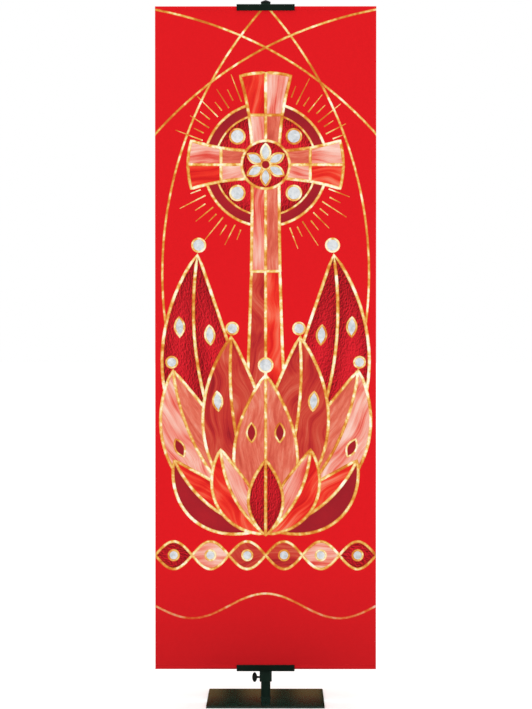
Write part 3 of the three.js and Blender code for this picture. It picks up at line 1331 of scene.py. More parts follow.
    def _leaves(self) -> None:
        """A sheaf of leaves, in mirrored pairs from back to front, with two upright in the middle."""
        silver, deep, coral, flame = Ink.SILVER, Ink.DEEP, Ink.CORAL, Ink.FLAME
        hammered, streak, swirl = Ink.HAMMERED, Ink.STREAK, Ink.SWIRL
        silver_drops = ((0.72, 1, silver), (0.74, -1, silver))
        deep_drops = ((0.62, 1, deep), (0.62, -1, deep))
        pairs = [
            self._leaf(
                (20, 520), (188, 1232), 206, -72, (hammered, hammered), 0.5, drops=silver_drops, bead=18
            ),
            self._leaf(
                (16, 490), (256, 912), 168, -50, (streak, coral), 0.52, drops=((0.6, -1, deep),), bead=15
            ),
            self._leaf(
                (6, 500), (94, 1004), 176, -34, (swirl, swirl), 0.48, drops=((0.66, -1, silver),), bead=16
            ),
            self._leaf((10, 474), (252, 664), 118, -38, (flame, deep), 0.52),
        ]
        for leaf in pairs:
            self._pair(leaf)
        self.marks += self._leaf((0, 470), (0, 900), 176, 0, (streak, streak), drops=deep_drops, bead=19)
        self._pair(self._leaf((4, 462), (124, 694), 104, -28, (coral, flame), 0.48))
        self.marks += self._leaf((0, 458), (0, 664), 96, 0, (hammered, hammered))

    def _band(self) -> None:
        """A looped band across the foot, each loop a lens between two sine waves, and a wave under it."""
        middle, swing, loop, edge, eye = 402.0, 38.0, 101.6, 304.8, 14.0
        wave_z, wave_swing = 262.0, 34.0
        inks = (Ink.HAMMERED, Ink.CORAL, Ink.SWIRL)
        for number, ink in enumerate(inks + inks[::-1]):
            start = number * loop - edge
            share = np.linspace(0, 1, 24)
            rise = swing * np.sin(np.pi * share)
            upper = np.stack([start + loop * share, middle + rise], axis=1)
            lower = np.stack([start + loop * share, middle - rise], axis=1)
            self.marks.append(Mark(np.vstack([upper, lower[-2:0:-1]]), ink, self.bold, 0))
            self.marks.append(self._disc(start + loop / 2, middle, eye, Ink.SILVER, self.fine))
        x = np.linspace(-edge, edge, 160)
        wave = np.stack([x, wave_z + wave_swing * np.cos(np.pi * x / (2 * loop))], axis=1)
        self.marks.append(Mark(wave, None, self.thin))


# ---- Cloth -----------------------------------------------------------------------------------------------


@dataclass(frozen=True)
class Ripple:
    """A soft fold down the sheet: its reach and pitch in metres, and its lean and start in radians."""

    reach: float
    pitch: float
    lean: float
    start: float


@dataclass
class Cloth:
    """The printed sheet with its side hems and its pole pockets.

    The turnings are what each hem and each pocket took from the flat cloth; they are not used. Weld_gap and
    glow_reach are in
    millimetres, as the print is: how near two points of it are made one, and how far into a pane its middle
    starts.
    """

    thick: float = 0.8 * MM
    side_hem: float = 12 * MM
    hem_extra: float = 0.7 * MM
    hem_step: float = 1.2 * MM
    pocket_high: float = 9.75 * MM
    pocket_thick: float = 6.4 * MM
    pocket_rows: int = 11
    sleeve_deep: float = 14 * MM
    mesh_pitch: float = 18 * MM
    turning: float = 12 * MM
    pocket_turning: float = 22 * MM
    ripples: tuple[Ripple, ...] = (
        Ripple(1.2 * MM, 236 * MM, 0.5, 0.7),
        Ripple(0.7 * MM, 141 * MM, -1.3, 2.1),
    )
    ripple_at_centre: float = 0.35
    weld_gap: float = 0.02
    glow_reach: float = 50.0
    finish: PrintedPolyester = PrintedPolyester()

    def __post_init__(self) -> None:
        """Takes the sheet's place from the frame."""
        low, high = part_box("banner_cloth")
        self.low, self.high = np.array(low), np.array(high)
        self.middle_y = (self.low[1] + self.high[1]) / 2

    def ripple(self, x: Array, z: Array) -> Array:
        """How far the sheet stands back of its plane.

        The sum of reach sin(2 pi x / pitch + lean pi rise + start) over the ripples, times sin(pi rise)
        squared and a share that grows from the middle to the sides with the square of x.

        Args:
            x: Places across, in metres.
            z: Heights, in metres.

        Returns:
            Offsets in metres.
        """
        rise = (z - self.low[2]) / (self.high[2] - self.low[2])
        side = np.abs(x) / self.high[0]
        share = (self.ripple_at_centre + (1 - self.ripple_at_centre) * side**2) * np.sin(np.pi * rise) ** 2
        waves = [
            fold.reach * np.sin(2 * np.pi * x / fold.pitch + fold.lean * np.pi * rise + fold.start)
            for fold in self.ripples
        ]
        return share * sum(waves)

    def half_thick(self, z: Array) -> Array:
        """Half the sheet's thickness at a height: an ellipse's in a pocket and the cloth's own outside.

        Args:
            z: Heights, in metres.

        Returns:
            Half thicknesses in metres.
        """
        from_end = np.minimum(z - self.low[2], self.high[2] - z)
        share = np.clip(1 - (2 * from_end / self.pocket_high - 1) ** 2, 0, 1)
        return np.maximum(self.pocket_thick / 2 * np.sqrt(share), self.thick / 2)

    def face_y(self, x: Array, z: Array, back: bool) -> Array:
        """Where the front or the back face stands in Y. The back steps out by hem_extra over the side hems.

        Args:
            x: Places across, in metres.
            z: Heights, in metres.
            back: True for the back face.

        Returns:
            Places in Y, in metres.
        """
        middle = self.middle_y + self.ripple(x, z)
        half = self.half_thick(z)
        if not back:
            return middle - half
        inside = self.high[0] - self.side_hem - np.abs(x)
        hem = self.hem_extra * np.clip(-inside / self.hem_step + 1, 0, 1)
        return middle + np.maximum(half, np.where(half > self.thick, half, self.thick / 2 + hem))

    def _base_grid(self) -> tuple[Array, list[tuple[int, int]]]:
        """Lays out the plain sheet before the print is cut in: even rows, and closer ones over the pockets.

        Returns:
            Points in millimetres, and the edges that stay: the border, the hems and the pockets' rows.
        """
        edge = self.high[0]
        inner = edge - self.side_hem
        stepped = inner - self.hem_step
        across = np.linspace(-inner + self.hem_step, stepped, round(2 * inner / self.mesh_pitch))
        columns = np.concatenate([[-edge, -inner], across, [inner, edge]]) / MM
        turn = np.linspace(0, np.pi, self.pocket_rows)
        pocket = self.pocket_high * (1 - np.cos(turn)) / 2
        low, high = self.low[2], self.high[2]
        count = round((high - low - 2 * self.pocket_high) / self.mesh_pitch)
        between = np.linspace(low + self.pocket_high, high - self.pocket_high, count)[1:-1]
        rows = np.concatenate([low + pocket, between, (high - pocket)[::-1]]) / MM
        x, z = np.meshgrid(columns, rows)
        number = np.arange(x.size).reshape(x.shape)
        border = [number[0], number[-1], number[:, 0], number[:, -1], number[:, 1], number[:, -2]]
        kept = [number[row] for row in (*range(1, self.pocket_rows), *range(-self.pocket_rows, -1))]
        edges = [(int(a), int(b)) for line in border + kept for a, b in zip(line[:-1], line[1:])]
        return np.stack([x.ravel(), z.ravel()], axis=1), edges

    def _triangles(self, marks: list[Mark]) -> tuple[Array, Array]:
        """Cuts every mark's edges into the flat sheet.

        Args:
            marks: The printed marks.

        Returns:
            Points in millimetres and triangles that are counterclockwise from the front.
        """
        points, edges = self._base_grid()
        low, high = points.min(axis=0), points.max(axis=0)
        pieces, total = [points], len(points)
        for path, closed in (cut for mark in marks for cut in mark.cuts()):
            inside = ((path > low) & (path < high)).all(axis=1)
            number = total + np.arange(len(path))
            after = np.roll(number, -1) if closed else number[1:]
            before = number if closed else number[:-1]
            keep = inside[before - total] & inside[after - total]
            edges += list(zip(before[keep].tolist(), after[keep].tolist()))
            pieces.append(np.clip(path, low, high))
            total += len(path)
        flat = [Vector(point) for point in np.vstack(pieces).tolist()]
        made, _, faces, *_ = delaunay_2d_cdt(flat, edges, [], 0, self.weld_gap, False)
        points = np.array([tuple(point) for point in made])
        corners = np.array(faces)
        a, b, c = (points[corners[:, i]] for i in range(3))
        area = (b[:, 0] - a[:, 0]) * (c[:, 1] - a[:, 1]) - (b[:, 1] - a[:, 1]) * (c[:, 0] - a[:, 0])
        return points, corners if area.sum() > 0 else corners[:, ::-1]

    @staticmethod
    def _inks(marks: list[Mark], points: Array) -> tuple[Array, Array]:
        """Finds what is printed at each point, painting the marks in order.

        Args:
            marks: The printed marks.
            points: Places in millimetres.

        Returns:
            The ink's number and the mark's number at each point.
        """
        ink = np.zeros(len(points), int)
        owner = np.full(len(points), -1)
        for number, mark in enumerate(marks):
            near = mark.near(points)
            if mark.ink is not None:
                held = near[mark.holds(points[near])]
                ink[held], owner[held] = mark.ink.value, number
            if mark.line > 0:
                drawn = near[mark.distance(points[near]) < mark.line / 2]
                ink[drawn], owner[drawn] = Ink.GOLD.value, number
        return ink, owner

    def _depths(self, marks: list[Mark], corners: Array, ink: Array, owner: Array) -> Array:
        """How far each triangle corner lies from the edge of what is printed there, from 0 to 1.

        In a gold line this is 1 at the line's middle. In a pane it is 1 from glow_reach in.

        Args:
            marks: The printed marks.
            corners: Places of each triangle's corners in millimetres.
            ink: The ink of each triangle.
            owner: The mark of each triangle.

        Returns:
            One number for each corner.
        """
        depth = np.zeros(corners.shape[:2])
        least = 0.01  # Millimetres. Keeps the division clear of nought where a mark has no line.
        for number, mark in enumerate(marks):
            held = np.flatnonzero(owner == number)
            gap = mark.distance(corners[held].reshape(-1, 2)).reshape(-1, 3)
            lined = (ink[held] == Ink.GOLD.value) & (mark.line > 0)
            across = 1 - gap / max(mark.line / 2, least)
            depth[held] = np.clip(np.where(lined[:, None], across, gap / self.glow_reach), 0, 1)
        return depth

    @staticmethod
    def _pane_places(marks: list[Mark], corners: Array, owner: Array) -> Array:
        """Coordinates in a triangle's own pane, turned to its grain and shifted, so that no two match.

        A pane's shift is the fraction of 43.7 |sin(12.9898 n)| for pane number n, which scatters them
        evenly.

        Args:
            marks: The printed marks.
            corners: Places of each triangle's corners in millimetres.
            owner: The mark of each triangle, or -1 on the plain ground.

        Returns:
            Two numbers in metres for each corner.
        """
        grain = np.radians([mark.grain for mark in marks] + [90.0])[owner]
        shift = np.modf(np.abs(np.sin(np.arange(len(marks) + 1) * 12.9898)) * 43.7)[0][owner]
        x, z = corners[..., 0] * MM, corners[..., 1] * MM
        cos, sin = np.cos(grain)[:, None], np.sin(grain)[:, None]
        along = x * cos + z * sin + shift[:, None]
        across = z * cos - x * sin + 3 * shift[:, None]
        return np.stack([along, across], axis=-1)

    def build(self) -> Piece:
        """Makes the sheet: front, back and rim as one closed mesh, with the print as its faces' materials.

        Returns:
            The cloth.
        """
        marks = Design().draw()
        points, triangles = self._triangles(marks)
        ink, owner = self._inks(marks, points[triangles].mean(axis=1))
        places = self._pane_places(marks, points[triangles], owner)
        depths = self._depths(marks, points[triangles], ink, owner)
        x, z = points[:, 0] * MM, points[:, 1] * MM
        front = np.stack([x, self.face_y(x, z, False), z], axis=1)
        back = np.stack([x, self.face_y(x, z, True), z], axis=1)
        count = len(points)
        directed = np.concatenate([triangles[:, [0, 1]], triangles[:, [1, 2]], triangles[:, [2, 0]]])
        sides = np.sort(directed, axis=1)
        _, index, uses = np.unique(sides, axis=0, return_index=True, return_counts=True)
        rim = directed[index[uses == 1]]
        rim = rim[~self._in_sleeve(x[rim], z[rim])]
        rim_faces = np.stack([rim[:, 1], rim[:, 0], rim[:, 0] + count, rim[:, 1] + count], axis=1)
        faces = triangles.tolist() + (triangles[:, ::-1] + count).tolist() + rim_faces.tolist()
        places_3d = np.vstack([front, back])
        for side in (-1, 1):
            for middle in (self.low[2] + self.pocket_high / 2, self.high[2] - self.pocket_high / 2):
                places_3d, sleeve = self._sleeve(places_3d, count, side, middle)
                faces += sleeve
        cloth = mesh_object("printed_banner", places_3d, faces)
        self._dress(cloth, ink, places, depths)
        LOG.info("%s: %d marks, %d triangles a side", cloth.name, len(marks), len(triangles))
        return cloth

    def _in_sleeve(self, x: Array, z: Array) -> Array:
        """Whether each edge lies across the open end of a pocket.

        Args:
            x: Places across of each edge's two ends.
            z: Their heights.

        Returns:
            True or False for each edge.
        """
        at_side = (np.abs(np.abs(x) - self.high[0]) < TOUCHING).all(axis=1)
        reach = self.pocket_high + TOUCHING
        at_foot = (z < self.low[2] + reach).all(axis=1)
        return at_side & (at_foot | (z > self.high[2] - reach).all(axis=1))

    def _sleeve(
        self, points: Array, count: int, side: int, middle: float
    ) -> tuple[Array, list[list[int]]]:
        """Opens one end of a pocket: a rim as thick as the cloth round a hollow that goes sleeve_deep in.

        The rim's inner edge is an ellipse, the pocket's own less the cloth's thickness all round.

        Args:
            points: The sheet's points so far, the front's and then the back's first.
            count: The number of points on the front.
            side: -1 for the left end and 1 for the right one.
            middle: The height of the pocket's middle.

        Returns:
            The points with the new ones after them, and the new faces.
        """
        front = points[:count]
        near = np.abs(front[:, 2] - middle) < self.pocket_high / 2 + TOUCHING
        row = np.flatnonzero(near & (np.abs(front[:, 0] - side * self.high[0]) < TOUCHING))
        row = row[np.argsort(front[row, 2])]
        outer = np.concatenate([row + count, row[::-1]] if side > 0 else [row, row[::-1] + count])
        ring = points[outer]
        tall, deep = self.pocket_high / 2 - self.thick, self.pocket_thick / 2 - self.thick
        rise = (ring[:, 2] - middle) * tall / (self.pocket_high / 2)
        half = np.maximum(deep * np.sqrt(np.clip(1 - (rise / tall) ** 2, 0, 1)), self.thick / 4)
        centre = (points[row, 1].mean() + points[row + count, 1].mean()) / 2
        facing = np.sign(ring[:, 1] - centre)
        inner = np.stack([ring[:, 0], centre + facing * half, middle + rise], axis=1)
        end = inner - (side * self.sleeve_deep, 0, 0)
        first = len(points)
        size = len(ring)
        rows = np.vstack([outer, first + np.arange(size), first + size + np.arange(size)])
        beside = np.roll(rows, -1, axis=1)
        walls = np.stack([rows[:-1], beside[:-1], beside[1:], rows[1:]], axis=-1).reshape(-1, 4)
        return np.vstack([points, inner, end]), walls.tolist() + [rows[2].tolist()]

    def _dress(self, cloth: Piece, ink: Array, places: Array, depths: Array) -> None:
        """Gives the cloth its materials, pane coordinates, depths and the mark of its reverse.

        Args:
            cloth: The sheet.
            ink: The ink of each front triangle.
            places: Pane coordinates of each front triangle's corners.
            depths: Depth of each front triangle's corners.
        """
        mesh = cloth.data
        rim = len(mesh.polygons) - 2 * len(ink)
        rim_corners = len(mesh.loops) - 2 * 3 * len(ink)
        for kind in Ink:
            mesh.materials.append(self.finish.material(kind))
        both = np.concatenate([ink, ink, np.zeros(rim, int)])
        mesh.polygons.foreach_set("material_index", both.astype(np.int32))
        reverse = np.concatenate([np.zeros(len(ink)), np.ones(len(ink)), np.zeros(rim)])
        turned = mesh.attributes.new("reverse", "FLOAT", "FACE")
        turned.data.foreach_set("value", reverse.astype(np.float32))
        depth = np.concatenate([depths.ravel(), depths[:, ::-1].ravel(), np.zeros(rim_corners)])
        inward = mesh.attributes.new("depth", "FLOAT", "CORNER")
        inward.data.foreach_set("value", depth.astype(np.float32))
        faces = [places.reshape(-1, 2), places[:, ::-1].reshape(-1, 2), np.zeros((rim_corners, 2))]
        corners = np.concatenate(faces).astype(np.float32)
        mesh.uv_layers.new(name="pane").uv.foreach_set("vector", corners.ravel())


@dataclass
class Stitching:
    """Lockstitch along the side hems and under the pockets, on both faces.

    Waist and shoulder shape one stitch: the share of its radius at its ends, and the share of its length,
    to each side of its middle, over which it is full.
    """

    cloth: Cloth
    pitch: float = 3.4 * MM
    length: float = 2.7 * MM
    radius: float = 0.24 * MM
    waist: float = 0.35
    shoulder: float = 0.32
    hem_inset: float = 10.4 * MM
    pocket_gap: float = 2.6 * MM
    end_gap: float = 2 * MM

    def _lines(self) -> list[tuple[Array, Array, bool]]:
        """Lays out the rows of stitches, two up the side hems and two along the pockets.

        Returns:
            For each row, its stitches' places across, their heights, and whether it runs upwards.
        """
        cloth = self.cloth
        clear = cloth.pocket_high + self.pocket_gap
        up = np.arange(cloth.low[2] + clear, cloth.high[2] - clear, self.pitch)
        over = np.arange(cloth.low[0] + self.end_gap, cloth.high[0] - self.end_gap, self.pitch)
        seam = cloth.high[0] - self.hem_inset
        sides = [(np.full_like(up, side * seam), up, True) for side in (-1, 1)]
        heights = (cloth.low[2] + clear, cloth.high[2] - clear)
        ends = [(over, np.full_like(over, height), False) for height in heights]
        return sides + ends

    def _stitch(self) -> tuple[Array, Array]:
        """Shapes one upright stitch about its middle: a spindle of four rings with four sides.

        Returns:
            Its points and its faces.
        """
        share = np.array([-0.5, -self.shoulder, self.shoulder, 0.5])
        swell = np.array([self.waist, 1.0, 1.0, self.waist])
        angle = np.radians([45, 135, 225, 315])
        across = self.radius * swell[:, None] * np.cos(angle)
        proud = self.radius * swell[:, None] * np.sin(angle)
        along = self.length * share[:, None] + 0 * angle
        points = np.stack([across, proud, along], axis=-1).reshape(-1, 3)
        faces = np.vstack([grid_faces(4, 4), [[3, 2, 1, 0], [12, 13, 14, 15]]])
        return points, faces

    def build(self) -> Piece:
        """Makes all stitches as one mesh, by setting copies of one at every place on both faces.

        Returns:
            The stitching.
        """
        upright_stitch, faces = self._stitch()
        level_stitch = upright_stitch[:, [2, 1, 0]] * (1, -1, 1)
        placed = []
        for x, z, upright in self._lines():
            for back in (False, True):
                spots = np.stack([x, self.cloth.face_y(x, z, back), z], axis=1)
                placed.append(spots[:, None, :] + (upright_stitch if upright else level_stitch))
        points = np.concatenate(placed)
        count, size, _ = points.shape
        numbers = faces[None] + size * np.arange(count)[:, None, None]
        made = mesh_object("hem_stitches", points.reshape(-1, 3), numbers.reshape(-1, 4).tolist())
        made.data.materials.append(Thread().material())
        LOG.info("%s: %d stitches", made.name, count)
        return made


# ---- Stand -----------------------------------------------------------------------------------------------


@dataclass
class BasePlate:
    """The square plate with the weld bead round the pole's foot.

    The bead's reach and height ripple, weld_ripples times round the pole. Weld_sink is how far its inner
    edge goes under the pole.
    """

    corner: float = 2.5 * MM
    edge: float = 0.7 * MM
    weld_leg: float = 3.2 * MM
    weld_ripples: int = 38
    weld_ripple: float = 0.07
    weld_ripple_high: float = 0.1
    weld_sink: float = 0.2 * MM
    pole_radius: float = 13 * MM
    sides: int = 192
    finish: GlossEnamel = GlossEnamel()
    weld_finish: WeldEnamel = WeldEnamel()

    def _outline(self, half: float, corner: float) -> Array:
        """A square with round corners, its points at even angles from the middle, starting on +X.

        Each point of the square is moved in from its corner, so that it stands a corner's radius from the
        smaller square inside.

        Args:
            half: Half the square's side.
            corner: Its corners' radius.

        Returns:
            Rows of x and y.
        """
        angle = np.linspace(0, 2 * np.pi, self.sides, endpoint=False)
        ray = np.stack([np.cos(angle), np.sin(angle)], axis=1)
        square = ray * (half / np.abs(ray).max(axis=1))[:, None]
        core = half - corner
        kept = np.clip(square, -core, core)
        out = square - kept
        far = np.linalg.norm(out, axis=1)
        bent = np.where((np.abs(out) > TINY).all(axis=1), corner / np.maximum(far, TINY), 1.0)
        return kept + out * bent[:, None]

    def build(self) -> Piece:
        """Makes plate and weld as one closed stack of rings from its underside's middle to the pole's foot.

        The rings go up the rim with its eased edges, in over the top while they turn from square to round,
        and up the bead, whose section is a quarter of a rounded hollow that ripples by a cosine.

        Returns:
            The plate.
        """
        _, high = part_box("base_plate")
        half = high.x
        thick = high.z - self.weld_leg
        lower = arc((half - self.edge, self.edge), self.edge, -90)
        upper = arc((half - self.edge, thick - self.edge), self.edge, 0)
        rings = []
        for reach, height in np.vstack([lower, upper]):
            outline = self._outline(reach, self.corner + reach - half)
            rings.append(np.column_stack([outline, np.full(self.sides, height)]))
        rim = rings[-1]
        angle = np.linspace(0, 2 * np.pi, self.sides, endpoint=False)
        around = np.stack([np.cos(angle), np.sin(angle), 0 * angle], axis=1)
        toe = self.pole_radius + self.weld_leg
        # The rings close in evenly over the top, then step up close to the bead's toe, for a crisp edge.
        for share in (*np.linspace(0.08, 0.97, 11), 0.995, 1.0):
            rings.append(rim * (1 - share) + (around * toe + (0, 0, thick)) * share)
        ripple = 1 + self.weld_ripple * np.cos(self.weld_ripples * angle)
        lifted = 1 - self.weld_ripple_high + self.weld_ripple_high * ripple
        for turn in np.radians(np.linspace(35, 90, 6)):
            reach = self.pole_radius + self.weld_leg * (1 - math.sin(turn)) * ripple
            rise = thick + self.weld_leg * (1 - math.cos(turn)) ** 0.8 * lifted
            rings.append(around * reach[:, None] + np.stack([0 * angle, 0 * angle, rise], axis=1))
        rings.append(around * (self.pole_radius - self.weld_sink) + (0, 0, thick))
        plate = loft("steel_base_plate", np.array(rings))
        plate.data.materials.append(self.finish.material())
        plate.data.materials.append(self.weld_finish.material())
        middles = np.zeros(3 * len(plate.data.polygons))
        plate.data.polygons.foreach_get("center", middles)
        x, y, z = middles.reshape(-1, 3).T
        bead = (np.hypot(x, y) < toe + 0.3 * MM) & (z > thick - 0.1 * MM)
        plate.data.polygons.foreach_set("material_index", bead.astype(np.int32))
        return plate


@dataclass
class Pole:
    """The steel tube and its push-in cap.

    The cap's plug is plug_inset smaller than its rim, and its rim sits seat_gap above the tube. Cap_tip
    is how blunt the dome's tip is, as a share of its radius.
    """

    wall: float = 1.5 * MM
    ease: float = 0.4 * MM
    cap_rim: float = 4.2 * MM
    cap_ease: float = 0.5 * MM
    cap_tip: float = 0.1
    plug_inset: float = 2.3 * MM
    plug_ease: float = 1 * MM
    seat_gap: float = 0.3 * MM
    sides: int = 96
    finish: PaintedPalerTubeEnamel = PaintedPalerTubeEnamel()
    cap_finish: MouldedPlastic = MouldedPlastic()

    def tube(self) -> Piece:
        """Makes the tube, its wall a closed profile with eased corners turned about the axis.

        Returns:
            The tube.
        """
        low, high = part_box("pole")
        outer, inner = high.x, high.x - self.wall
        foot = arc((outer - self.ease, low.z + self.ease), self.ease, -90)
        head = arc((outer - self.ease, high.z - self.ease), self.ease, 0)
        profile = np.vstack([foot, head, [[inner, high.z], [inner, low.z]]])
        tube = loft("steel_pole", revolve(profile, self.sides), ends=False)
        tube.data.materials.append(self.finish.material())
        return tube

    def cap(self) -> Piece:
        """Makes the cap: a plug, a rim with an eased edge and a low pointed dome, turned about the axis.

        The dome is a cone with a rounded tip: at a share s of its radius it has fallen by
        sqrt(s^2 + cap_tip^2) less cap_tip, as a share of what that comes to at the rim.

        Returns:
            The cap.
        """
        low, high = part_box("pole_cap")
        _, pole_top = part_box("pole")
        outer = high.x
        inner = outer - self.plug_inset
        seat = pole_top.z + self.seat_gap
        shoulder = seat + self.cap_rim
        plug = [[inner - self.plug_ease, low.z], [inner, low.z + self.plug_ease], [inner, seat]]
        rim = arc((outer - self.cap_ease, seat + self.cap_ease), self.cap_ease, -90)
        share = np.linspace(1, 0, 24)
        fallen = np.hypot(share, self.cap_tip) - self.cap_tip
        rise = (high.z - shoulder) * (1 - fallen / fallen[0])
        dome = np.stack([outer * share, shoulder + rise], axis=1)
        cap = loft("pole_end_cap", revolve(np.vstack([plug, rim, dome[:-1]]), self.sides))
        cap.data.materials.append(self.cap_finish.material())
        return cap


@dataclass
class Channel:
    """A lipped channel folded from sheet steel, which holds a pocket of the cloth by its lips."""

    node: str
    slot_down: bool
    wall: float = 1.8 * MM
    slot: float = 3.2 * MM
    bend: float = 1.9 * MM
    inner_bend: float = 0.5 * MM
    ease: float = 0.3 * MM
    eased_from: float = math.radians(50)
    finish: SatinEnamel = SatinEnamel()

    def _section(self, half: float, tall: float) -> Array:
        """The folded section, slot down: round the outside from the slot's right lip, then back inside.

        Args:
            half: Half its width.
            tall: Its height.

        Returns:
            Rows of y and z, from the middle of its underside.
        """
        slot, wall, bend, tight = self.slot / 2, self.wall, self.bend, self.inner_bend
        wide, top = half - wall - tight, tall - wall - tight
        return np.vstack(
            [
                [[slot, 0]],
                arc((half - bend, bend), bend, -90),
                arc((half - bend, tall - bend), bend, 0),
                arc((bend - half, tall - bend), bend, 90),
                arc((bend - half, bend), bend, 180),
                [[-slot, 0], [-slot, wall]],
                arc((-wide, wall + tight), tight, 270, -90),
                arc((-wide, top), tight, 180, -90),
                arc((wide, top), tight, 90, -90),
                arc((wide, wall + tight), tight, 0, -90),
                [[slot, wall]],
            ]
        )

    def build(self) -> Piece:
        """Makes the channel: its section carried along X, closed at its ends, with the cut edges eased.

        Returns:
            The channel.
        """
        low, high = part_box(self.node)
        tall = high.z - low.z
        section = self._section((high.y - low.y) / 2, tall)
        if not self.slot_down:
            section = section * (-1, -1) + (0, tall)
        y, z = section[:, 0] + (low.y + high.y) / 2, section[:, 1] + low.z
        ends = np.array([np.stack([np.full_like(y, x), y, z], axis=1) for x in (low.x, high.x)])
        count = len(section)
        faces = grid_faces(2, count).tolist() + [list(range(count))[::-1], list(range(count, 2 * count))]
        made = mesh_object(f"steel_{self.node}", ends.reshape(-1, 3), faces)
        bevel = made.modifiers.new("eased_cut", "BEVEL")
        bevel.width = self.ease
        bevel.segments = 2
        bevel.limit_method = "ANGLE"
        bevel.angle_limit = self.eased_from
        applied(made)
        made.data.materials.append(self.finish.material())
        return made


@dataclass
class Collar:
    """A collar on the pole with the lug that carries a channel, and a thumbscrew's hole if it has one.

    The lug starts lug_sink inside the ring's wall and ends lug_bite inside the channel's back.
    """

    node: str
    screw_z: float | None = None
    bore: float = 13.15 * MM
    bore_ease: float = 0.3 * MM
    chamfer: float = 0.9 * MM
    lug_wide: float = 24 * MM
    lug_high: float = 13 * MM
    lug_round: float = 1.5 * MM
    lug_sink: float = 1.5 * MM
    lug_bite: float = 0.3 * MM
    channel_high: float = 17.5 * MM
    hole: float = 2.9 * MM
    sides: int = 96
    hole_sides: int = 48
    finish: PaintedPalerTubeEnamel = PaintedPalerTubeEnamel()

    def build(self) -> Piece:
        """Makes the collar: a turned ring, joined to a block that reaches the channel's back, and drilled.

        Returns:
            The collar.
        """
        low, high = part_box(self.node)
        outer, eased = high.x, self.bore + self.bore_ease
        foot = arc((outer - self.chamfer, low.z + self.chamfer), self.chamfer, -90)
        head = arc((outer - self.chamfer, high.z - self.chamfer), self.chamfer, 0)
        bore = [[eased, high.z], [self.bore, high.z - self.bore_ease], [self.bore, low.z + self.bore_ease]]
        profile = np.vstack([[[eased, low.z]], foot, head, bore])
        ring = loft(f"steel_{self.node}", revolve(profile, self.sides), ends=False)
        carve(ring, self._lug(low.y - self.lug_bite, high.z - self.channel_high / 2), Carving.JOIN)
        if self.screw_z is not None:
            drill = revolve(np.array([[self.hole, 0.0], [self.hole, outer]]), self.hole_sides)
            turned = drill[..., [2, 1, 0]] * (-1, 1, 1) + (-self.bore / 2, 0, self.screw_z)
            carve(ring, loft("drill", turned), Carving.CUT)
        ring.data.materials.clear()
        ring.data.materials.append(self.finish.material())
        return ring

    def _lug(self, front: float, middle: float) -> Piece:
        """Makes the block between collar and channel, its section a rounded rectangle carried along Y.

        Args:
            front: Where it ends, in Y.
            middle: Its height.

        Returns:
            The block.
        """
        wide, high = self.lug_wide / 2 - self.lug_round, self.lug_high / 2 - self.lug_round
        corners = [(wide, high), (-wide, high), (-wide, -high), (wide, -high)]
        section = np.vstack([arc(corner, self.lug_round, 90 * i) for i, corner in enumerate(corners)])
        back = -(self.bore + self.lug_sink)
        x, z = section[:, 0], section[:, 1] + middle
        rings = [np.stack([x, np.full_like(x, y), z], axis=1) for y in (back, front)]
        return loft("lug", np.array(rings))


@dataclass
class Thumbscrew:
    """A one-piece thumbscrew: a threaded shank that swells through a neck into an oval paddle.

    Square is the power that rounds the paddle's section, below 1 for a boxier one. Run_out is the length
    over which the thread starts and the tip tapers, down to tip_share of the shank.
    """

    shank: float = 2.6 * MM
    shank_swell: float = 0.5 * MM
    thread_depth: float = 0.35 * MM
    thread_pitch: float = 1.0 * MM
    run_out: float = 0.6 * MM
    tip_share: float = 0.78
    neck_long: float = 2.2 * MM
    paddle_long: float = 13.8 * MM
    paddle_thick: float = 4.6 * MM
    paddle_end: float = 0.93
    rim_taper: float = 2.2
    rim_thin: float = 0.05
    rim_round: float = 0.6
    square: float = 0.82
    sides: int = 64
    finish: BlackOxide = BlackOxide()

    def build(self) -> Piece:
        """Makes the screw as one loft along X.

        At each place the section is a superellipse. In the paddle its half height follows an ellipse and
        its half thickness tapers to the rim. In the shank it is a circle whose radius falls by a triangle
        wave of the distance along the axis plus the turn about it, which makes the thread.

        Returns:
            The screw.
        """
        low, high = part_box("thumbscrew")
        middle_z, tall = (low.z + high.z) / 2, (high.z - low.z) / 2
        long = self.paddle_long / 2
        centre = low.x + long
        paddle = centre - long * np.cos(np.linspace(0, np.pi * self.paddle_end, 40))
        shank = np.arange(paddle[-1] + 0.1 * MM, high.x, self.thread_pitch / 8)
        run = np.concatenate([paddle[1:], shank])
        oval = np.sqrt(np.clip(1 - ((run - centre) / long) ** 2, 0, 1))
        blend = np.clip((run - centre) / long, 0, 1) ** 4
        half_z = np.maximum(tall * oval, self.shank + self.shank_swell * blend)
        tapered = self.paddle_thick / 2 * np.clip(oval * self.rim_taper, self.rim_thin, 1) ** self.rim_round
        half_y = np.where(run < centre + long, tapered, self.shank)
        half_y = np.where(run > centre, np.maximum(half_y, self.shank), half_y)
        angle = np.linspace(0, 2 * np.pi, self.sides, endpoint=False)
        cos, sin = np.cos(angle), np.sin(angle)
        power = np.where(run < centre + long * 0.98, self.square, 1.0)[:, None]
        y = half_y[:, None] * np.sign(cos) * np.abs(cos) ** power
        z = half_z[:, None] * np.sign(sin) * np.abs(sin) ** power
        phase = np.modf((run[:, None] - low.x) / self.thread_pitch + angle / (2 * np.pi))[0]
        cut = self.thread_depth * np.abs(2 * phase - 1)
        threaded = np.clip((run - (centre + long + self.neck_long)) / self.run_out, 0, 1)[:, None]
        tip = np.clip((high.x - run) / self.run_out, 0, 1)[:, None]
        scale = (1 - threaded * cut / self.shank) * (self.tip_share + (1 - self.tip_share) * tip)
        rings = np.stack([run[:, None] + 0 * y, y * scale, z * scale + middle_z], axis=-1)
        screw = loft("steel_thumbscrew", rings)
        screw.data.materials.append(self.finish.material())
        return screw


# ---- Studio ----------------------------------------------------------------------------------------------


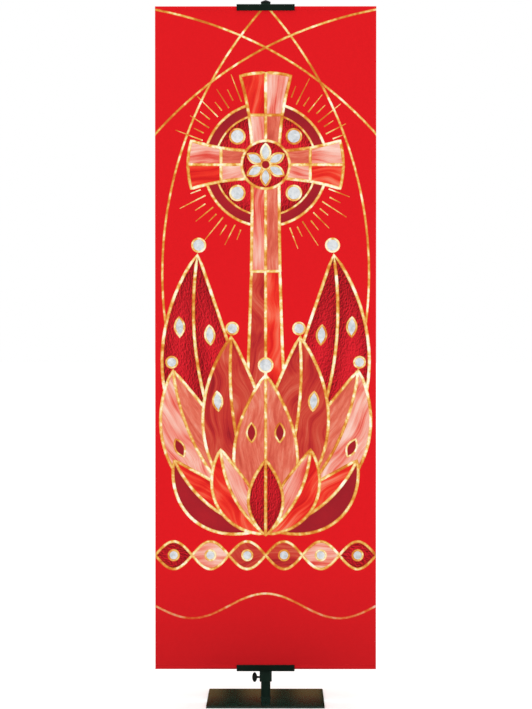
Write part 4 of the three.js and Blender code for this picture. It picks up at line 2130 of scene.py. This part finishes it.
@dataclass
class Studio:
    """White paper floor, even soft light, a glowing ring of card whose colours are a painted reflection for
    gloss to mirror, and the camera.
    """

    camera_at: Place = (0.0345, -6.5776, 1.0352)
    looks_at: Place = (0.0009, 0.0, 0.9563)
    lens: float = 120.6
    sensor: float = 36.0
    sky: float = 1.0
    floor_half: float = 60.0
    card_radius: float = 1.0
    card_from: float = 1 * MM
    card_to: float = 1600 * MM
    card_sides: int = 128
    softbox_at: Place = (1.2, -4.0, 0.7)
    softbox_aim: Place = (0.0, 0.0, 0.6)
    softbox_size: float = 1.6
    softbox_power: float = 6.0
    overhead_at: Place = (0.0, 0.0, 4.0)
    overhead_power: float = 1.0
    overhead_spread: float = math.radians(40)

    def build(self) -> None:
        """Makes the camera, floor, sky, ring of card and lights."""
        self._camera()
        self._floor()
        self._sky()
        self._card()
        self._softbox()
        self._overhead()
        scene = bpy.context.scene
        scene.view_settings.view_transform = "Standard"
        scene.view_settings.look = "None"

    def _camera(self) -> None:
        """Places the camera, level but for a slight tilt down."""
        data = bpy.data.cameras.new("camera")
        data.lens = self.lens
        data.sensor_width = self.sensor
        camera = bpy.data.objects.new("camera", data)
        camera.location = self.camera_at
        aim = Vector(self.looks_at) - Vector(self.camera_at)
        camera.rotation_euler = aim.to_track_quat("-Z", "Y").to_euler()
        bpy.context.scene.collection.objects.link(camera)
        bpy.context.scene.camera = camera

    def _floor(self) -> None:
        """Lays the paper floor as a stage piece."""
        half = self.floor_half
        corners = np.array([[-half, -half, 0], [half, -half, 0], [half, half, 0], [-half, half, 0]])
        floor = mesh_object("paper_floor", corners, [[0, 1, 2, 3]], smooth=False)
        floor.data.materials.append(StudioPaper().material())

    def _card(self) -> None:
        """Stands a low ring of glowing card about the banner that only gloss sees, a painted reflection for
        the plate to mirror.
        """
        profile = np.array([[self.card_radius, self.card_from], [self.card_radius, self.card_to]])
        points = revolve(profile, self.card_sides).reshape(-1, 3)
        card = mesh_object("reflector_card", points, grid_faces(2, self.card_sides).tolist())
        card.data.materials.append(ReflectorCard().material())
        card.visible_camera = False
        card.visible_diffuse = False
        card.visible_shadow = False

    def _sky(self) -> None:
        """Surrounds the scene with even white light."""
        world = bpy.data.worlds.new("studio")
        world.use_nodes = True
        tree = world.node_tree
        tree.nodes.clear()
        shown = add_node(tree, "Background", {"Color": (1, 1, 1, 1), "Strength": self.sky})
        add_node(tree, "OutputWorld", {"Surface": shown.outputs["Background"]})
        bpy.context.scene.world = world

    def _softbox(self) -> None:
        """Adds a wide, faint square light from the front, low and to the right."""
        data = bpy.data.lights.new("front_softbox", "AREA")
        data.size = self.softbox_size
        data.energy = self.softbox_power
        lamp = bpy.data.objects.new("front_softbox", data)
        lamp.location = self.softbox_at
        aim = Vector(self.softbox_aim) - Vector(self.softbox_at)
        lamp.rotation_euler = aim.to_track_quat("-Z", "Y").to_euler()
        bpy.context.scene.collection.objects.link(lamp)

    def _overhead(self) -> None:
        """Adds wide soft light from straight above, which keeps the paper white."""
        data = bpy.data.lights.new("overhead_light", "SUN")
        data.energy = self.overhead_power
        data.angle = self.overhead_spread
        lamp = bpy.data.objects.new("overhead_light", data)
        lamp.location = self.overhead_at
        bpy.context.scene.collection.objects.link(lamp)


# ---- Assembly --------------------------------------------------------------------------------------------


@dataclass
class Fitted:
    """How a piece takes its place: its body and the node that it replaces. Its finish's slot is not used.
    """

    piece: Piece
    slot: str
    node: str | None = None
    body: str = "banner_on_stand"

    def fit(self) -> None:
        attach(self.piece, self.body)
        if self.node is not None:
            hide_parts(self.node)
        LOG.info("%s: %d faces on %s", self.piece.name, len(self.piece.data.polygons), self.body)


def main() -> None:
    """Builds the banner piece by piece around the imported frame."""
    logging.basicConfig(level=logging.INFO, format="%(name)s: %(message)s")
    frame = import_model()
    Studio().build()

    screw_z = frame["joints"][0]["pos_m"][2]
    cloth = Cloth()
    banner = cloth.build()
    stitches = Stitching(cloth).build()
    pole = Pole()
    fitted = [
        Fitted(banner, "printed_cloth", "banner_cloth"),
        Fitted(stitches, "printed_cloth"),
        Fitted(BasePlate().build(), "gloss_enamel", "base_plate"),
        Fitted(pole.tube(), "black_enamel", "pole"),
        Fitted(pole.cap(), "black_plastic", "pole_cap"),
        Fitted(Channel("top_channel", True).build(), "black_enamel", "top_channel"),
        Fitted(Channel("bottom_channel", False).build(), "black_enamel", "bottom_channel"),
        Fitted(Collar("top_collar").build(), "black_enamel", "top_collar"),
        Fitted(Collar("bottom_collar", screw_z).build(), "black_enamel", "bottom_collar"),
        Fitted(Thumbscrew().build(), "blackened_steel", "thumbscrew", "thumbscrew_body"),
    ]
    for entry in fitted:
        entry.fit()


if __name__ == "__main__":
    main()
